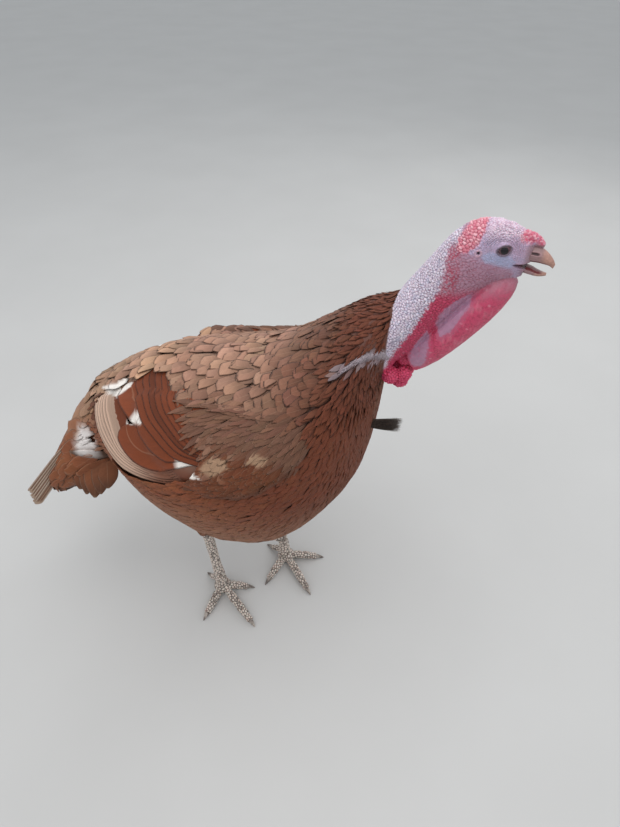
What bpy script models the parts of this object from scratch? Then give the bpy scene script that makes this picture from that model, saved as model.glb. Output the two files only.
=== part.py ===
"""A young domestic tom turkey standing at rest, life size: metres, +X is where it faces, +Z up.

The body is one smooth loft from the rump to the base of the bill, parted into trunk, feathered neck,
bare neck and head. Wings and tail lie over it as closed shells. The solids run out to the feather tips.
"""

import functools
import math

import bmesh
import bpy
import numpy as np
from mathutils import Vector

GAP = 0.0004  # room left between two pieces that touch
FLOOR = 0.0

# The body's loft. Each station holds the back's x and z, the underside's x and z, and the half width.
BODY_STATIONS = np.array(
    (
        (-0.285, 0.345, -0.262, 0.292, 0.030),  # root of the tail
        (-0.245, 0.394, -0.222, 0.268, 0.064),  # rump
        (-0.185, 0.439, -0.163, 0.214, 0.106),
        (-0.105, 0.475, -0.081, 0.178, 0.141),  # hips
        (-0.012, 0.502, 0.004, 0.161, 0.156),
        (0.058, 0.527, 0.088, 0.192, 0.154),  # ribs
        (0.106, 0.559, 0.149, 0.267, 0.143),  # shoulders
        (0.145, 0.589, 0.190, 0.348, 0.119),  # breast
        (0.179, 0.614, 0.2040, 0.437, 0.086),
        (0.213, 0.632, 0.2125, 0.524, 0.048),  # collar, where the feathers end
        (0.2265, 0.652, 0.251, 0.575, 0.0325),
        (0.239, 0.673, 0.279, 0.617, 0.0270),  # bare neck
        (0.2565, 0.699, 0.303, 0.651, 0.0240),
        (0.278, 0.722, 0.321, 0.669, 0.0220),  # nape and angle of the jaw
        (0.298, 0.7325, 0.334, 0.674, 0.0205),
        (0.317, 0.7338, 0.342, 0.678, 0.0187),  # eyes
        (0.3365, 0.728, 0.3475, 0.680, 0.0145),
        (0.352, 0.7145, 0.3485, 0.683, 0.0088),  # base of the bill
    )
)
COLLAR_STATION = 9
NECK_FOOT_STATION = 7.5
NAPE_STATION = 12.6
BILL_STATION = 17
WIDEST = 0.10  # how far the widest line lies above the middle of a ring
STEEPEST = 0.97  # the highest share of a ring's half height that a wing is laid on

BODY_SIDES = 26
NECK_SIDES = 20
HEAD_SIDES = 20

# The bill: back x and z, underside x and z, half width.
BILL_UPPER = (
    (0.3529, 0.7140, 0.3508, 0.6965, 0.0084),
    (0.3600, 0.7110, 0.3560, 0.6968, 0.0074),
    (0.3664, 0.7065, 0.3625, 0.6960, 0.0057),
    (0.3710, 0.7015, 0.3682, 0.6948, 0.0036),
    (0.3736, 0.6970, 0.3720, 0.6920, 0.0014),
)
BILL_LOWER = (
    (0.3504, 0.6922, 0.3495, 0.6838, 0.0076),
    (0.3550, 0.6894, 0.3545, 0.6822, 0.0064),
    (0.3618, 0.6874, 0.3612, 0.6822, 0.0046),
    (0.3676, 0.6868, 0.3674, 0.6836, 0.0018),
)
BILL_WIDEST = 0.15  # how far each half's widest line lies towards the mouth

EYE_CENTRE = (0.3225, 0.0133, 0.7110)
EYE_RADIUS = 0.0082

SNOOD_PATH = ((0.3330, 0.7240), (0.3440, 0.7215), (0.3525, 0.7185), (0.3600, 0.7145))
SNOOD_RADII = (0.0042, 0.0054, 0.0050, 0.0024)

# The dewlap: its root along the throat, its free edge, its half thickness.
DEWLAP_STATIONS = (
    (0.330, 0.684, 0.3430, 0.6725, 0.0070),
    (0.318, 0.673, 0.3413, 0.6577, 0.0120),
    (0.301, 0.654, 0.3307, 0.6334, 0.0152),
    (0.283, 0.630, 0.3138, 0.6062, 0.0165),
    (0.266, 0.607, 0.2940, 0.5786, 0.0165),
    (0.250, 0.583, 0.2716, 0.5519, 0.0158),
    (0.236, 0.566, 0.2502, 0.5348, 0.0132),
)
DEWLAP_WIDEST = 0.25  # how far its widest line lies towards the throat

# Swollen lobes at the foot of the neck: centre and radius.
CARUNCLES = (
    ((0.2310, 0.0000, 0.5170), 0.0110),
    ((0.2220, -0.0140, 0.5290), 0.0105),
    ((0.2220, 0.0140, 0.5290), 0.0105),
    ((0.2370, -0.0070, 0.5300), 0.0095),
    ((0.2370, 0.0070, 0.5300), 0.0095),
)

# A wing's side view: for each x, its lowest and highest z and its thickness.
# The coverts lie over the flight feathers.
COVERT_OUTLINE = (
    (-0.110, 0.440, 0.452, 0.012),
    (-0.085, 0.414, 0.462, 0.016),
    (-0.040, 0.390, 0.472, 0.018),
    (0.010, 0.378, 0.482, 0.017),
    (0.060, 0.382, 0.494, 0.015),
    (0.110, 0.408, 0.510, 0.012),
    (0.148, 0.452, 0.520, 0.008),
    (0.165, 0.488, 0.500, 0.003),
)
FLIGHT_OUTLINE = (
    (-0.215, 0.388, 0.402, 0.005),
    (-0.190, 0.362, 0.418, 0.009),
    (-0.150, 0.342, 0.437, 0.012),
    (-0.100, 0.328, 0.452, 0.012),
    (-0.050, 0.328, 0.464, 0.009),
    (0.000, 0.340, 0.472, 0.006),
    (0.040, 0.362, 0.462, 0.004),
    (0.060, 0.392, 0.430, 0.003),
)
WING_CROWN = 0.7  # how round a wing's outer face is across: lower is flatter in the middle
WING_LOW_SWELL = 1.1  # a wing's thickness at its lower edge, as a share of the stated one
WING_TOP_THINNING = 0.3  # what it loses from there to its upper edge
WING_RIM = 0.002  # how far a wing's rim dips under the trunk's surface
WING_SINK = 0.006  # how far a wing's inner face lies under the trunk's surface before it is cut

# The tail: centre line, half width and half thickness. It hangs, and is swung and rolled to the right.
TAIL_STATIONS = (
    (-0.230, -0.004, 0.338, 0.040, 0.022),
    (-0.276, -0.024, 0.277, 0.046, 0.018),
    (-0.317, -0.045, 0.226, 0.051, 0.014),
    (-0.346, -0.060, 0.190, 0.053, 0.010),
    (-0.361, -0.067, 0.171, 0.049, 0.007),
    (-0.371, -0.072, 0.159, 0.032, 0.004),
)
TAIL_COVERT_STATIONS = (
    (-0.185, 0.000, 0.358, 0.077, 0.073),
    (-0.228, -0.010, 0.310, 0.074, 0.064),
    (-0.270, -0.030, 0.259, 0.067, 0.052),
    (-0.304, -0.050, 0.215, 0.057, 0.037),
    (-0.326, -0.064, 0.187, 0.044, 0.024),
    (-0.339, -0.072, 0.172, 0.018, 0.010),
)
TAIL_ROLL = math.radians(38)

BEARD_PATH = ((0.180, 0.424), (0.203, 0.431), (0.222, 0.439), (0.240, 0.446))
BEARD_RADII = (0.0062, 0.0068, 0.0062, 0.0038)

# Legs. A foot's toes are angle from straight ahead, length with the claw.
TARSUS_HEIGHT = 0.168
TARSUS_FOOT = 0.006  # where its lowest ring lies over the floor
TARSUS_LEAN = 0.018  # how far the hock lies behind the foot
TARSUS_RADII = (0.0118, 0.0096, 0.0086, 0.0083, 0.0090, 0.0112)
FEET = {
    "right": {
        "centre": (-0.0385, -0.0555),
        "toes": {
            "outer": (-90, 0.074),
            "middle": (-30, 0.103),
            "inner": (21, 0.058),
            "hind": (158, 0.046),
        },
    },
    "left": {
        "centre": (0.0410, 0.0500),
        "toes": {
            "outer": (21, 0.072),
            "middle": (-39, 0.097),
            "inner": (-98, 0.073),
            "hind": (164, 0.048),
        },
    },
}
SOLE_RADIUS = 0.0160
SOLE_HEIGHT = 0.0080  # middle of the pad under the toes' meeting point
SOLE_FLATNESS = 0.72
TOE_RADII = (0.0056, 0.0064, 0.0081, 0.0070, 0.0076, 0.0062, 0.0060)
HIND_TOE_RADII = (0.0062, 0.0058, 0.0058, 0.0050)
TOE_SINK = 0.0012  # what the flat under a toe cuts from its roundness
TOE_RISE = 0.004  # how much higher a toe lies at its root
HIND_TOE_RISE = 0.020
TOE_DROP = 0.8  # how early along the toe that height is lost: lower is earlier
CLAW_LENGTH = 0.014
CLAW_RADIUS = 0.0047
CLAW_ROOT = 0.003  # how deep a claw starts inside the toe, which cuts it
CLAW_ROOT_SHARE = 0.7  # how slim it is there
CLAW_TAPER = 0.85  # what it loses of its radius by the tip
CLAW_BLUNTNESS = 1.5
CLAW_HOOK = 1.6  # how late along the claw it turns down to the floor
TOE_ROOT = 0.004
SPUR_HEIGHT = 0.052
SPUR_LENGTH = 0.017  # from the middle of the shank
SPUR_DIRECTION = (-0.6, 0.75, 0.05)  # back, inward, up
SPUR_RADII = (0.0042, 0.0040, 0.0032, 0.0012)

THIGH_TOP = 0.285
THIGH_DROP = 0.012  # how far its feathers reach below the hock
THIGH_RADII = (0.0135, 0.0200, 0.0360, 0.0520, 0.0580)
THIGH_SPREAD = 0.018  # how far the thigh's top lies outside the hock
THIGH_FORWARD = 0.045

COLOURS = {
    "plumage": ((0.21, 0.075, 0.040), 0.75),
    "plumage_pale": ((0.33, 0.15, 0.085), 0.75),
    "bare_skin": ((0.62, 0.42, 0.50), 0.55),
    "face_skin": ((0.50, 0.42, 0.58), 0.50),
    "red_skin": ((0.62, 0.05, 0.08), 0.50),
    "horn": ((0.48, 0.42, 0.34), 0.45),
    "eye": ((0.035, 0.018, 0.012), 0.08),
    "beard": ((0.060, 0.050, 0.045), 0.80),
    "leg_scales": ((0.50, 0.43, 0.38), 0.60),
    "claw": ((0.30, 0.25, 0.20), 0.45),
}


def clear_scene():
    for old in list(bpy.data.objects):
        bpy.data.objects.remove(old, do_unlink=True)


def material(name):
    found = bpy.data.materials.get(name)
    if found:
        return found
    colour, roughness = COLOURS[name]
    made = bpy.data.materials.new(name)
    made.use_nodes = True
    shader = made.node_tree.nodes["Principled BSDF"]
    shader.inputs["Base Color"].default_value = (*colour, 1.0)
    shader.inputs["Roughness"].default_value = roughness
    shader.inputs["Metallic"].default_value = 0.0
    return made


def smooth_rows(rows, places):
    """A Catmull-Rom curve through the rows, read at the given places, where row 0 lies at place 0."""
    rows = np.asarray(rows, float)
    last = len(rows) - 1
    padded = np.vstack((2 * rows[0] - rows[1], rows, 2 * rows[-1] - rows[-2]))
    found = []
    for place in places:
        start = min(int(place), last - 1)
        t = place - start
        p0, p1, p2, p3 = padded[start : start + 4]
        square = 2 * p0 - 5 * p1 + 4 * p2 - p3
        cube = 3 * p1 - p0 - 3 * p2 + p3
        found.append((2 * p1 + (p2 - p0) * t + square * t**2 + cube * t**3) / 2)
    return np.array(found)


def evenly(rows, count):
    """The curve through the rows, read at that many even places."""
    return smooth_rows(rows, np.linspace(0, len(rows) - 1, count))


def evenly_one(values, count):
    return evenly(np.array(values)[:, None], count)[:, 0]


def upright_ring(station, sides, widest=0.0):
    """A ring in the plane that holds the Y axis and runs from the back's point to the underside's."""
    back_x, back_z, under_x, under_z, half_width = station
    back = np.array((back_x, 0.0, back_z))
    under = np.array((under_x, 0.0, under_z))
    turn = np.arange(sides) * 2 * math.pi / sides
    rise = np.cos(turn)[:, None]
    side = (np.sin(turn) * (1 + widest * np.cos(turn)))[:, None]
    return (back + under) / 2 + rise * (back - under) / 2 + side * np.array((0.0, half_width, 0.0))


def body_rings(first, last, count, sides, trim):
    """Rings of the body's loft between two places along it, trimmed at its second end to leave a gap."""
    rows = smooth_rows(BODY_STATIONS, np.linspace(first, last, count))
    rings = [upright_ring(row, sides, WIDEST) for row in rows]
    along = rings[-1].mean(axis=0) - rings[-2].mean(axis=0)
    rings[-1] = rings[-1] - along / np.linalg.norm(along) * trim
    return np.array(rings)


def tube_rings(centres, radii, sides, side_axis=None, floor=None):
    """Round rings square to a path. A floor cuts them flat."""
    centres = np.asarray(centres, float)
    tangents = np.gradient(centres, axis=0)
    rings = []
    for centre, tangent, radius in zip(centres, tangents, radii):
        tangent = tangent / np.linalg.norm(tangent)
        side = np.cross((0.0, 0.0, 1.0), tangent) if side_axis is None else np.asarray(side_axis, float)
        side = side - tangent * side.dot(tangent)
        side = side / np.linalg.norm(side)
        normal = np.cross(tangent, side)
        turn = np.arange(sides) * 2 * math.pi / sides
        ring = centre + radius * (np.sin(turn)[:, None] * side + np.cos(turn)[:, None] * normal)
        if floor is not None:
            ring[:, 2] = np.maximum(ring[:, 2], floor)
        rings.append(ring)
    return np.array(rings)


def loft(name, rings, colour, sharp=40):
    """A closed body through the rings, with a flat cap at both ends."""
    sides = rings.shape[1]
    body = bmesh.new()
    rows = [[body.verts.new(point) for point in ring] for ring in rings]
    for row, following in zip(rows, rows[1:]):
        for i in range(sides):
            body.faces.new((row[i - 1], row[i], following[i], following[i - 1]))
    body.faces.new(rows[0])
    body.faces.new(rows[-1][::-1])
    return placed(name, body, colour, sharp)


def placed(name, body, colour, sharp=40):
    bmesh.ops.recalc_face_normals(body, faces=body.faces)
    mesh = bpy.data.meshes.new(name)
    body.to_mesh(mesh)
    body.free()
    mesh.shade_smooth()
    mesh.set_sharp_from_angle(angle=math.radians(sharp))
    mesh.materials.append(material(colour))
    made = bpy.data.objects.new(name, mesh)
    bpy.context.scene.collection.objects.link(made)
    return made


def ball(name, centre, radius, colour, segments=12, rows=8):
    body = bmesh.new()
    bmesh.ops.create_uvsphere(body, u_segments=segments, v_segments=rows, radius=radius)
    bmesh.ops.translate(body, verts=body.verts, vec=Vector(centre))
    return placed(name, body, colour)


def as_cutter(tool):
    tool.hide_render = True
    tool.display_type = "WIRE"
    return tool


def grown(source, gap=GAP):
    """A cutter with the source's shape, a gap larger all round."""
    body = bmesh.new()
    body.from_mesh(source.data)
    body.normal_update()
    for vert in body.verts:
        vert.co += vert.normal * gap * vert.calc_shell_factor()
    return as_cutter(placed(source.name + "_cutter", body, source.data.materials[0].name))


def boolean(target, tool, operation="DIFFERENCE"):
    modifier = target.modifiers.new(operation.title() + " " + tool.name, "BOOLEAN")
    modifier.operation = operation
    modifier.solver = "EXACT"
    modifier.object = tool


def make_body():
    trunk = body_rings(0, NECK_FOOT_STATION, 17, BODY_SIDES, GAP)
    collar = body_rings(NECK_FOOT_STATION, COLLAR_STATION, 5, BODY_SIDES, GAP)
    neck = body_rings(COLLAR_STATION, NAPE_STATION, 9, NECK_SIDES, GAP)
    head = body_rings(NAPE_STATION, BILL_STATION, 9, HEAD_SIDES, GAP)
    trunk = loft("trunk", trunk, "plumage")
    collar = loft("neck_feathered", collar, "plumage")
    neck = loft("neck_bare", neck, "bare_skin")
    head = loft("head", head, "face_skin")
    return trunk, collar, neck, head


def make_eyes(head):
    for side, sign in (("right", -1), ("left", 1)):
        centre = (EYE_CENTRE[0], sign * EYE_CENTRE[1], EYE_CENTRE[2])
        ball("eye_" + side, centre, EYE_RADIUS, "eye")
        boolean(head, as_cutter(ball("socket_" + side, centre, EYE_RADIUS + GAP, "face_skin")))


def make_bill():
    upper = np.array([upright_ring(row, 14, -BILL_WIDEST) for row in evenly(BILL_UPPER, 9)])
    lower = np.array([upright_ring(row, 12, BILL_WIDEST) for row in evenly(BILL_LOWER, 6)])
    loft("bill_lower", lower, "horn", 60)
    return loft("bill_upper", upper, "horn", 60)


def midline_tube(path, radii):
    """Rings of a short round horn that lies in the bird's middle plane."""
    path = evenly(path, 7)
    centres = np.column_stack((path[:, 0], np.zeros(len(path)), path[:, 1]))
    return tube_rings(centres, evenly_one(radii, len(path)), 12, side_axis=(0, 1, 0))


def make_snood(head, upper_bill):
    snood = loft("snood", midline_tube(SNOOD_PATH, SNOOD_RADII), "red_skin")
    boolean(snood, grown(head))
    boolean(snood, grown(upper_bill))


def make_dewlap(head, neck):
    rings = [upright_ring(row, 16, DEWLAP_WIDEST) for row in evenly(DEWLAP_STATIONS, 11)]
    dewlap = loft("dewlap", np.array(rings), "red_skin")
    boolean(dewlap, grown(neck))
    boolean(dewlap, grown(head))
    return dewlap


def make_caruncles(neck, collar, dewlap):
    first, *others = (
        ball(f"caruncle_lobe_{i}", centre, radius, "red_skin", 10, 6)
        for i, (centre, radius) in enumerate(CARUNCLES)
    )
    first.name = "caruncles"
    for lobe in others:
        boolean(first, as_cutter(lobe), "UNION")
    for tool in (neck, collar, dewlap):
        boolean(first, grown(tool))


@functools.cache
def fine_stations():
    return smooth_rows(BODY_STATIONS, np.linspace(0, COLLAR_STATION, 181))


def side_of_body(x, z):
    """How far to the left the body's surface lies at a place in side view."""
    rows = fine_stations()
    back, under = rows[:, 0:2], rows[:, 2:4]
    centre, half = (back + under) / 2, (back - under) / 2
    away = np.array((x, z)) - centre
    turn = away[:, 0] * half[:, 1] - away[:, 1] * half[:, 0]
    crossing = np.nonzero(turn[:-1] * turn[1:] <= 0)[0]
    first = crossing[np.argmin(np.abs((away[crossing] * half[crossing]).sum(axis=1)))]
    share = turn[first] / (turn[first] - turn[first + 1])
    centre_here = centre[first] + share * (centre[first + 1] - centre[first])
    half_here = half[first] + share * (half[first + 1] - half[first])
    width = rows[first, 4] + share * (rows[first + 1, 4] - rows[first, 4])
    rise = (np.array((x, z)) - centre_here).dot(half_here) / half_here.dot(half_here)
    rise = min(max(rise, -STEEPEST), STEEPEST)
    return width * math.sqrt(1 - rise * rise) * (1 + WIDEST * rise)


def body_normal(x, z, step=0.004):
    slope_x = (side_of_body(x + step, z) - side_of_body(x - step, z)) / (2 * step)
    slope_z = (side_of_body(x, z + step) - side_of_body(x, z - step)) / (2 * step)
    normal = np.array((-slope_x, 1.0, -slope_z))
    return normal / np.linalg.norm(normal)


def wing_loft(name, outline, sign, colour, stations=14, steps=10):
    """A leaf-shaped shell that hugs the trunk's side. Its inner face is sunk in the trunk."""
    rings = []
    for x, low, high, thickness in evenly(outline, stations):
        outer, inner = [], []
        for turn in np.linspace(0, math.pi, steps):
            share = (1 - math.cos(turn)) / 2
            z = low + share * (high - low)
            point = np.array((x, side_of_body(x, z), z))
            normal = body_normal(x, z)
            crown = math.sin(turn) ** WING_CROWN
            swell = thickness * crown * (WING_LOW_SWELL - WING_TOP_THINNING * share)
            outer.append(point + normal * (swell - WING_RIM * (1 - crown)))
            inner.append(point - normal * WING_SINK)
        rings.append(outer + inner[::-1])
    rings = np.array(rings) * np.array((1.0, sign, 1.0))
    return loft(name, rings, colour)


def make_wings(trunk, collar):
    flights = []
    for side, sign in (("right", -1), ("left", 1)):
        coverts = wing_loft("wing_coverts_" + side, COVERT_OUTLINE, sign, "plumage")
        flight = wing_loft("wing_flight_" + side, FLIGHT_OUTLINE, sign, "plumage_pale")
        boolean(coverts, grown(trunk))
        boolean(coverts, grown(collar))
        boolean(flight, grown(trunk))
        boolean(flight, grown(coverts))
        flights.append(flight)
    return flights


def rolled_rings(stations, count, sides, roll):
    """Flat oval rings square to the tail's line, rolled about it so that the right edge hangs lower."""
    rows = evenly(stations, count)
    tangents = np.gradient(rows[:, :3], axis=0)
    rings = []
    for (x, y, z, wide, high), tangent in zip(rows, tangents):
        centre = np.array((x, y, z))
        tangent = tangent / np.linalg.norm(tangent)
        side = np.cross((0.0, 0.0, 1.0), tangent)
        side /= np.linalg.norm(side)
        normal = np.cross(tangent, side)
        across = math.cos(roll) * side + math.sin(roll) * normal
        up = np.cross(tangent, across)
        turn = np.arange(sides) * 2 * math.pi / sides
        rings.append(centre + np.sin(turn)[:, None] * wide * across + np.cos(turn)[:, None] * high * up)
    return np.array(rings)


def make_tail(trunk, flights):
    coverts = rolled_rings(TAIL_COVERT_STATIONS, 9, 18, TAIL_ROLL)
    coverts = loft("tail_coverts", coverts, "plumage_pale")
    tail = loft("tail_feathers", rolled_rings(TAIL_STATIONS, 9, 14, TAIL_ROLL), "plumage_pale")
    boolean(coverts, grown(trunk))
    for flight in flights:
        boolean(coverts, grown(flight))
    boolean(tail, grown(trunk))
    boolean(tail, grown(coverts))


def make_beard(trunk, collar):
    beard = loft("beard", midline_tube(BEARD_PATH, BEARD_RADII), "beard")
    boolean(beard, grown(trunk))
    boolean(beard, grown(collar))


def hock_of(foot):
    x, y = foot["centre"]
    return np.array((x - TARSUS_LEAN, y, TARSUS_HEIGHT))


def make_tarsus(side, foot):
    x, y = foot["centre"]
    heights = np.linspace(0.0, 1.0, 8)
    foot_point = np.array((x, y, FLOOR + TARSUS_FOOT))
    centres = foot_point + heights[:, None] * (hock_of(foot) - foot_point)
    radii = evenly_one(TARSUS_RADII, len(heights))
    tarsus = loft("tarsus_" + side, tube_rings(centres, radii, 12, (0, 1, 0), FLOOR), "leg_scales")
    sole = as_cutter(ball("sole_" + side, (0, 0, 0), SOLE_RADIUS, "leg_scales", 14, 8))
    for vert in sole.data.vertices:
        vert.co.z = max(FLOOR + SOLE_HEIGHT + vert.co.z * SOLE_FLATNESS, FLOOR)
        vert.co.x += x
        vert.co.y += y
    boolean(tarsus, sole, "UNION")
    share = SPUR_HEIGHT / TARSUS_HEIGHT
    root = foot_point + share * (hock_of(foot) - foot_point)
    backward, inward, upward = SPUR_DIRECTION
    reach = np.linspace(0.0, SPUR_LENGTH, len(SPUR_RADII))[:, None]
    spur_line = root + reach * np.array((backward, -math.copysign(inward, y), upward))
    spur = loft("spur_" + side + "_tool", tube_rings(spur_line, SPUR_RADII, 6), "leg_scales")
    boolean(tarsus, as_cutter(spur), "UNION")
    return tarsus, sole


def toe_path(foot, degrees, length, rise, count):
    angle = math.radians(degrees)
    heading = np.array((math.cos(angle), math.sin(angle), 0.0))
    reach = np.linspace(TOE_ROOT, length - CLAW_LENGTH, count)
    line = np.array((*foot["centre"], 0.0)) + reach[:, None] * heading
    drop = rise * (1 - (reach / reach[-1]) ** TOE_DROP)
    return line, drop, heading


def make_toes(side, foot, tarsus, sole):
    for toe_name, (degrees, length) in foot["toes"].items():
        hind = toe_name == "hind"
        knuckles = HIND_TOE_RADII if hind else TOE_RADII
        count = 6 if hind else 9
        rise = HIND_TOE_RISE if hind else TOE_RISE
        line, drop, heading = toe_path(foot, degrees, length, rise, count)
        radii = evenly_one(knuckles, count)
        line[:, 2] = FLOOR + radii - TOE_SINK + drop
        toe = loft(f"toe_{toe_name}_{side}", tube_rings(line, radii, 8, floor=FLOOR), "leg_scales")
        boolean(toe, grown_group(tarsus, sole))
        make_claw(f"claw_{toe_name}_{side}", line[-1], heading, toe)


def grown_group(tarsus, sole):
    """One cutter for the foot's middle: the sole's ball grown by the gap, joined to the tarsus's tube."""
    name = tarsus.name + "_middle"
    found = bpy.data.objects.get(name)
    if found:
        return found
    middle = grown(sole)
    middle.name = name
    boolean(middle, grown(tarsus), "UNION")
    return middle


def make_claw(name, root, heading, toe):
    share = np.linspace(0.0, 1.0, 5)
    line = root + np.outer(share * CLAW_LENGTH - CLAW_ROOT * (1 - share), heading)
    radii = CLAW_RADIUS * (1 - CLAW_TAPER * share**CLAW_BLUNTNESS)
    radii[0] *= CLAW_ROOT_SHARE
    line[:, 2] = root[2] + share**CLAW_HOOK * (FLOOR + radii[-1] - root[2])
    claw = loft(name, tube_rings(line, radii, 7, floor=FLOOR), "claw")
    boolean(claw, grown(toe))


def make_thigh(side, foot, trunk, tarsus):
    hock = hock_of(foot)
    outward = math.copysign(THIGH_SPREAD, hock[1])
    top = np.array((hock[0] + THIGH_FORWARD, hock[1] + outward, THIGH_TOP))
    share = np.linspace(0.0, 1.0, 9)[:, None]
    start = hock - np.array((0.0, 0.0, THIGH_DROP))
    centres = start + share * (top - start)
    radii = evenly_one(THIGH_RADII, len(centres))
    thigh = loft("thigh_" + side, tube_rings(centres, radii, 14, (0, 1, 0)), "plumage")
    boolean(thigh, grown(trunk))
    boolean(thigh, grown(tarsus))


def stand_over_origin():
    """Moves every piece so that the origin lies on the floor under the middle of the whole."""
    bpy.context.view_layer.update()
    graph = bpy.context.evaluated_depsgraph_get()
    shown = [piece for piece in bpy.data.objects if not piece.hide_render]
    points = []
    for piece in shown:
        mesh = piece.evaluated_get(graph).to_mesh()
        points.append(np.array([vert.co[:] for vert in mesh.vertices]))
        piece.evaluated_get(graph).to_mesh_clear()
    points = np.vstack(points)
    low, high = points.min(axis=0), points.max(axis=0)
    shift = Vector((-(low[0] + high[0]) / 2, -(low[1] + high[1]) / 2, -low[2]))
    for piece in bpy.data.objects:
        piece.location = shift


def main():
    clear_scene()
    trunk, collar, neck, head = make_body()
    make_eyes(head)
    upper_bill = make_bill()
    make_snood(head, upper_bill)
    dewlap = make_dewlap(head, neck)
    make_caruncles(neck, collar, dewlap)
    flights = make_wings(trunk, collar)
    make_tail(trunk, flights)
    make_beard(trunk, collar)
    for side, foot in FEET.items():
        tarsus, sole = make_tarsus(side, foot)
        make_toes(side, foot, tarsus, sole)
        make_thigh(side, foot, trunk, tarsus)
    stand_over_origin()


main()
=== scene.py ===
"""The looks of a life-size domestic turkey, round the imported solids: skin, scales, horn, eyes and feathers.

Metres. +X is the way the bird faces, +Y its left, +Z up. The origin is on the floor under its middle.
"""

import math
from collections import namedtuple

import bmesh
import bpy
import numpy as np
from mathutils import Matrix, Vector
from mathutils.bvhtree import BVHTree
from mathutils.kdtree import KDTree


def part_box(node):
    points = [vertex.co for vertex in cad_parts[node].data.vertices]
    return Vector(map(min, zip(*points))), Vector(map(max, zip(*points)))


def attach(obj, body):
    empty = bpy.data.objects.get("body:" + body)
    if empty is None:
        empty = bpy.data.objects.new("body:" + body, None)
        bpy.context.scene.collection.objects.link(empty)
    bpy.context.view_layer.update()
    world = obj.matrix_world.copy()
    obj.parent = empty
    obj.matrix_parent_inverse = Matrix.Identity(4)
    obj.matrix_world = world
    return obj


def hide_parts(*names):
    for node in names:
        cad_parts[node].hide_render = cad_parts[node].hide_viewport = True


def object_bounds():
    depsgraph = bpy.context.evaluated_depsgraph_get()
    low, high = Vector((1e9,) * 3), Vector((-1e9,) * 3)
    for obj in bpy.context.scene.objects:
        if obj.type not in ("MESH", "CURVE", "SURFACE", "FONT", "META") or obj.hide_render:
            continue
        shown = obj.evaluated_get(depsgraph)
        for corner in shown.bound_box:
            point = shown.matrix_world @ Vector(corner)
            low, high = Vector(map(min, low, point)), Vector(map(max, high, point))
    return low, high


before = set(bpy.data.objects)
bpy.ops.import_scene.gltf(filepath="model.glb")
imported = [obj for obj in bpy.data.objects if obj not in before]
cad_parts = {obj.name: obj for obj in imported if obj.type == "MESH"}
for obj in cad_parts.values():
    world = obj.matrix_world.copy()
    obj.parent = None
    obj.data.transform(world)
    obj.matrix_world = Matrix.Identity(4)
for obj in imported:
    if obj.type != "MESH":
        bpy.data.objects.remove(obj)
cad_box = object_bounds()
SIDES = (("right", -1.0), ("left", 1.0))
MM = 0.001

# Every place in this file is measured with the eyes at this x.
# At the end the pieces are moved to the frame's own x.
MEASURED_EYE_X = 0.3412
EYE_LOW, EYE_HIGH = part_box("eye_right")
OFFSET = Vector(((EYE_LOW.x + EYE_HIGH.x) / 2 - MEASURED_EYE_X, 0, 0))

# Seeds of what is random
SKIN_SEED, COAT_SEED, BEARD_SEED, DOWN_SEED = 11, 5, 23, 29
FLIGHT_SEED, TAIL_SEED, HANGING_SEED = 31, 41, 43

# How far CAD nodes are grown, the voxel size, and the rounds of smoothing, for each mesh made round them
ENVELOPE_SHELL = (0.6 * MM, 3.5 * MM, 4)
BODY_SHELL = (0.6 * MM, 6 * MM, 4)
HEAD_SHELL = (0.5 * MM, 0.85 * MM, 14)
LEGS_SHELL = (0.5 * MM, 1.0 * MM, 4)
BILL_SHELL = (0.3 * MM, 0.42 * MM, 5)

# Thickness of the vanes
SMALL_VANE, HANGING_VANE, FLIGHT_VANE, TAIL_VANE = 0.25 * MM, 0.4 * MM, 0.5 * MM, 0.6 * MM

BAKE_PATCH = 0.003  # across a small feather's or a bristle's patch of the bake map
LONG_BAKE_PATCH = np.array((0.008, 0.003))


def box(node):
    low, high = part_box(node)
    return np.array(low - OFFSET), np.array(high - OFFSET)


def linear(red, green, blue):
    """A colour given in display values from 0 to 255, as linear light."""
    shown = np.array((red, green, blue)) / 255
    return np.where(shown <= 0.04045, shown / 12.92, ((shown + 0.055) / 1.055) ** 2.4)


# Plumage
DARK_BREAST = linear(114, 63, 44)
NECK_BROWN = linear(108, 62, 47)
RUFOUS = linear(126, 70, 44)
# The belly's brown, brightened as painted bounce light from the floor on the underside.
BELLY_BROWN_AND_BOUNCE = linear(148, 106, 84)
# Back browns: partly the plumage's own, partly painted skylight on the upward faces.
BACK_BROWN = linear(158, 119, 99)
SHOULDER_BROWN = linear(108, 70, 54)
RUMP_PALE = linear(166, 130, 104)
# Grey of the coverts: partly their own grey-brown, partly a painted sheen.
COVERT_GREY = linear(109, 75, 59)
COVERT_BROWN = linear(104, 58, 36)
FLIGHT_BROWN = linear(118, 57, 30)
STRIP_PALE = linear(200, 166, 144)
WHITE = linear(232, 224, 216)
SOFT_WHITE = linear(222, 214, 210)
BEIGE = linear(164, 132, 106)
DOWN = linear(190, 176, 182)
# Dark under the tail: partly the feathers' own dark brown, partly painted shade.
UNDERTAIL_DARK_AND_SHADE = linear(84, 60, 48)
TAIL_EDGE = linear(214, 196, 180)
TAIL_RUFOUS = linear(134, 79, 50)
TAIL_OLIVE = linear(122, 92, 68)

# Bare skin
NAPE_WHITE = linear(226, 214, 226)
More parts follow.
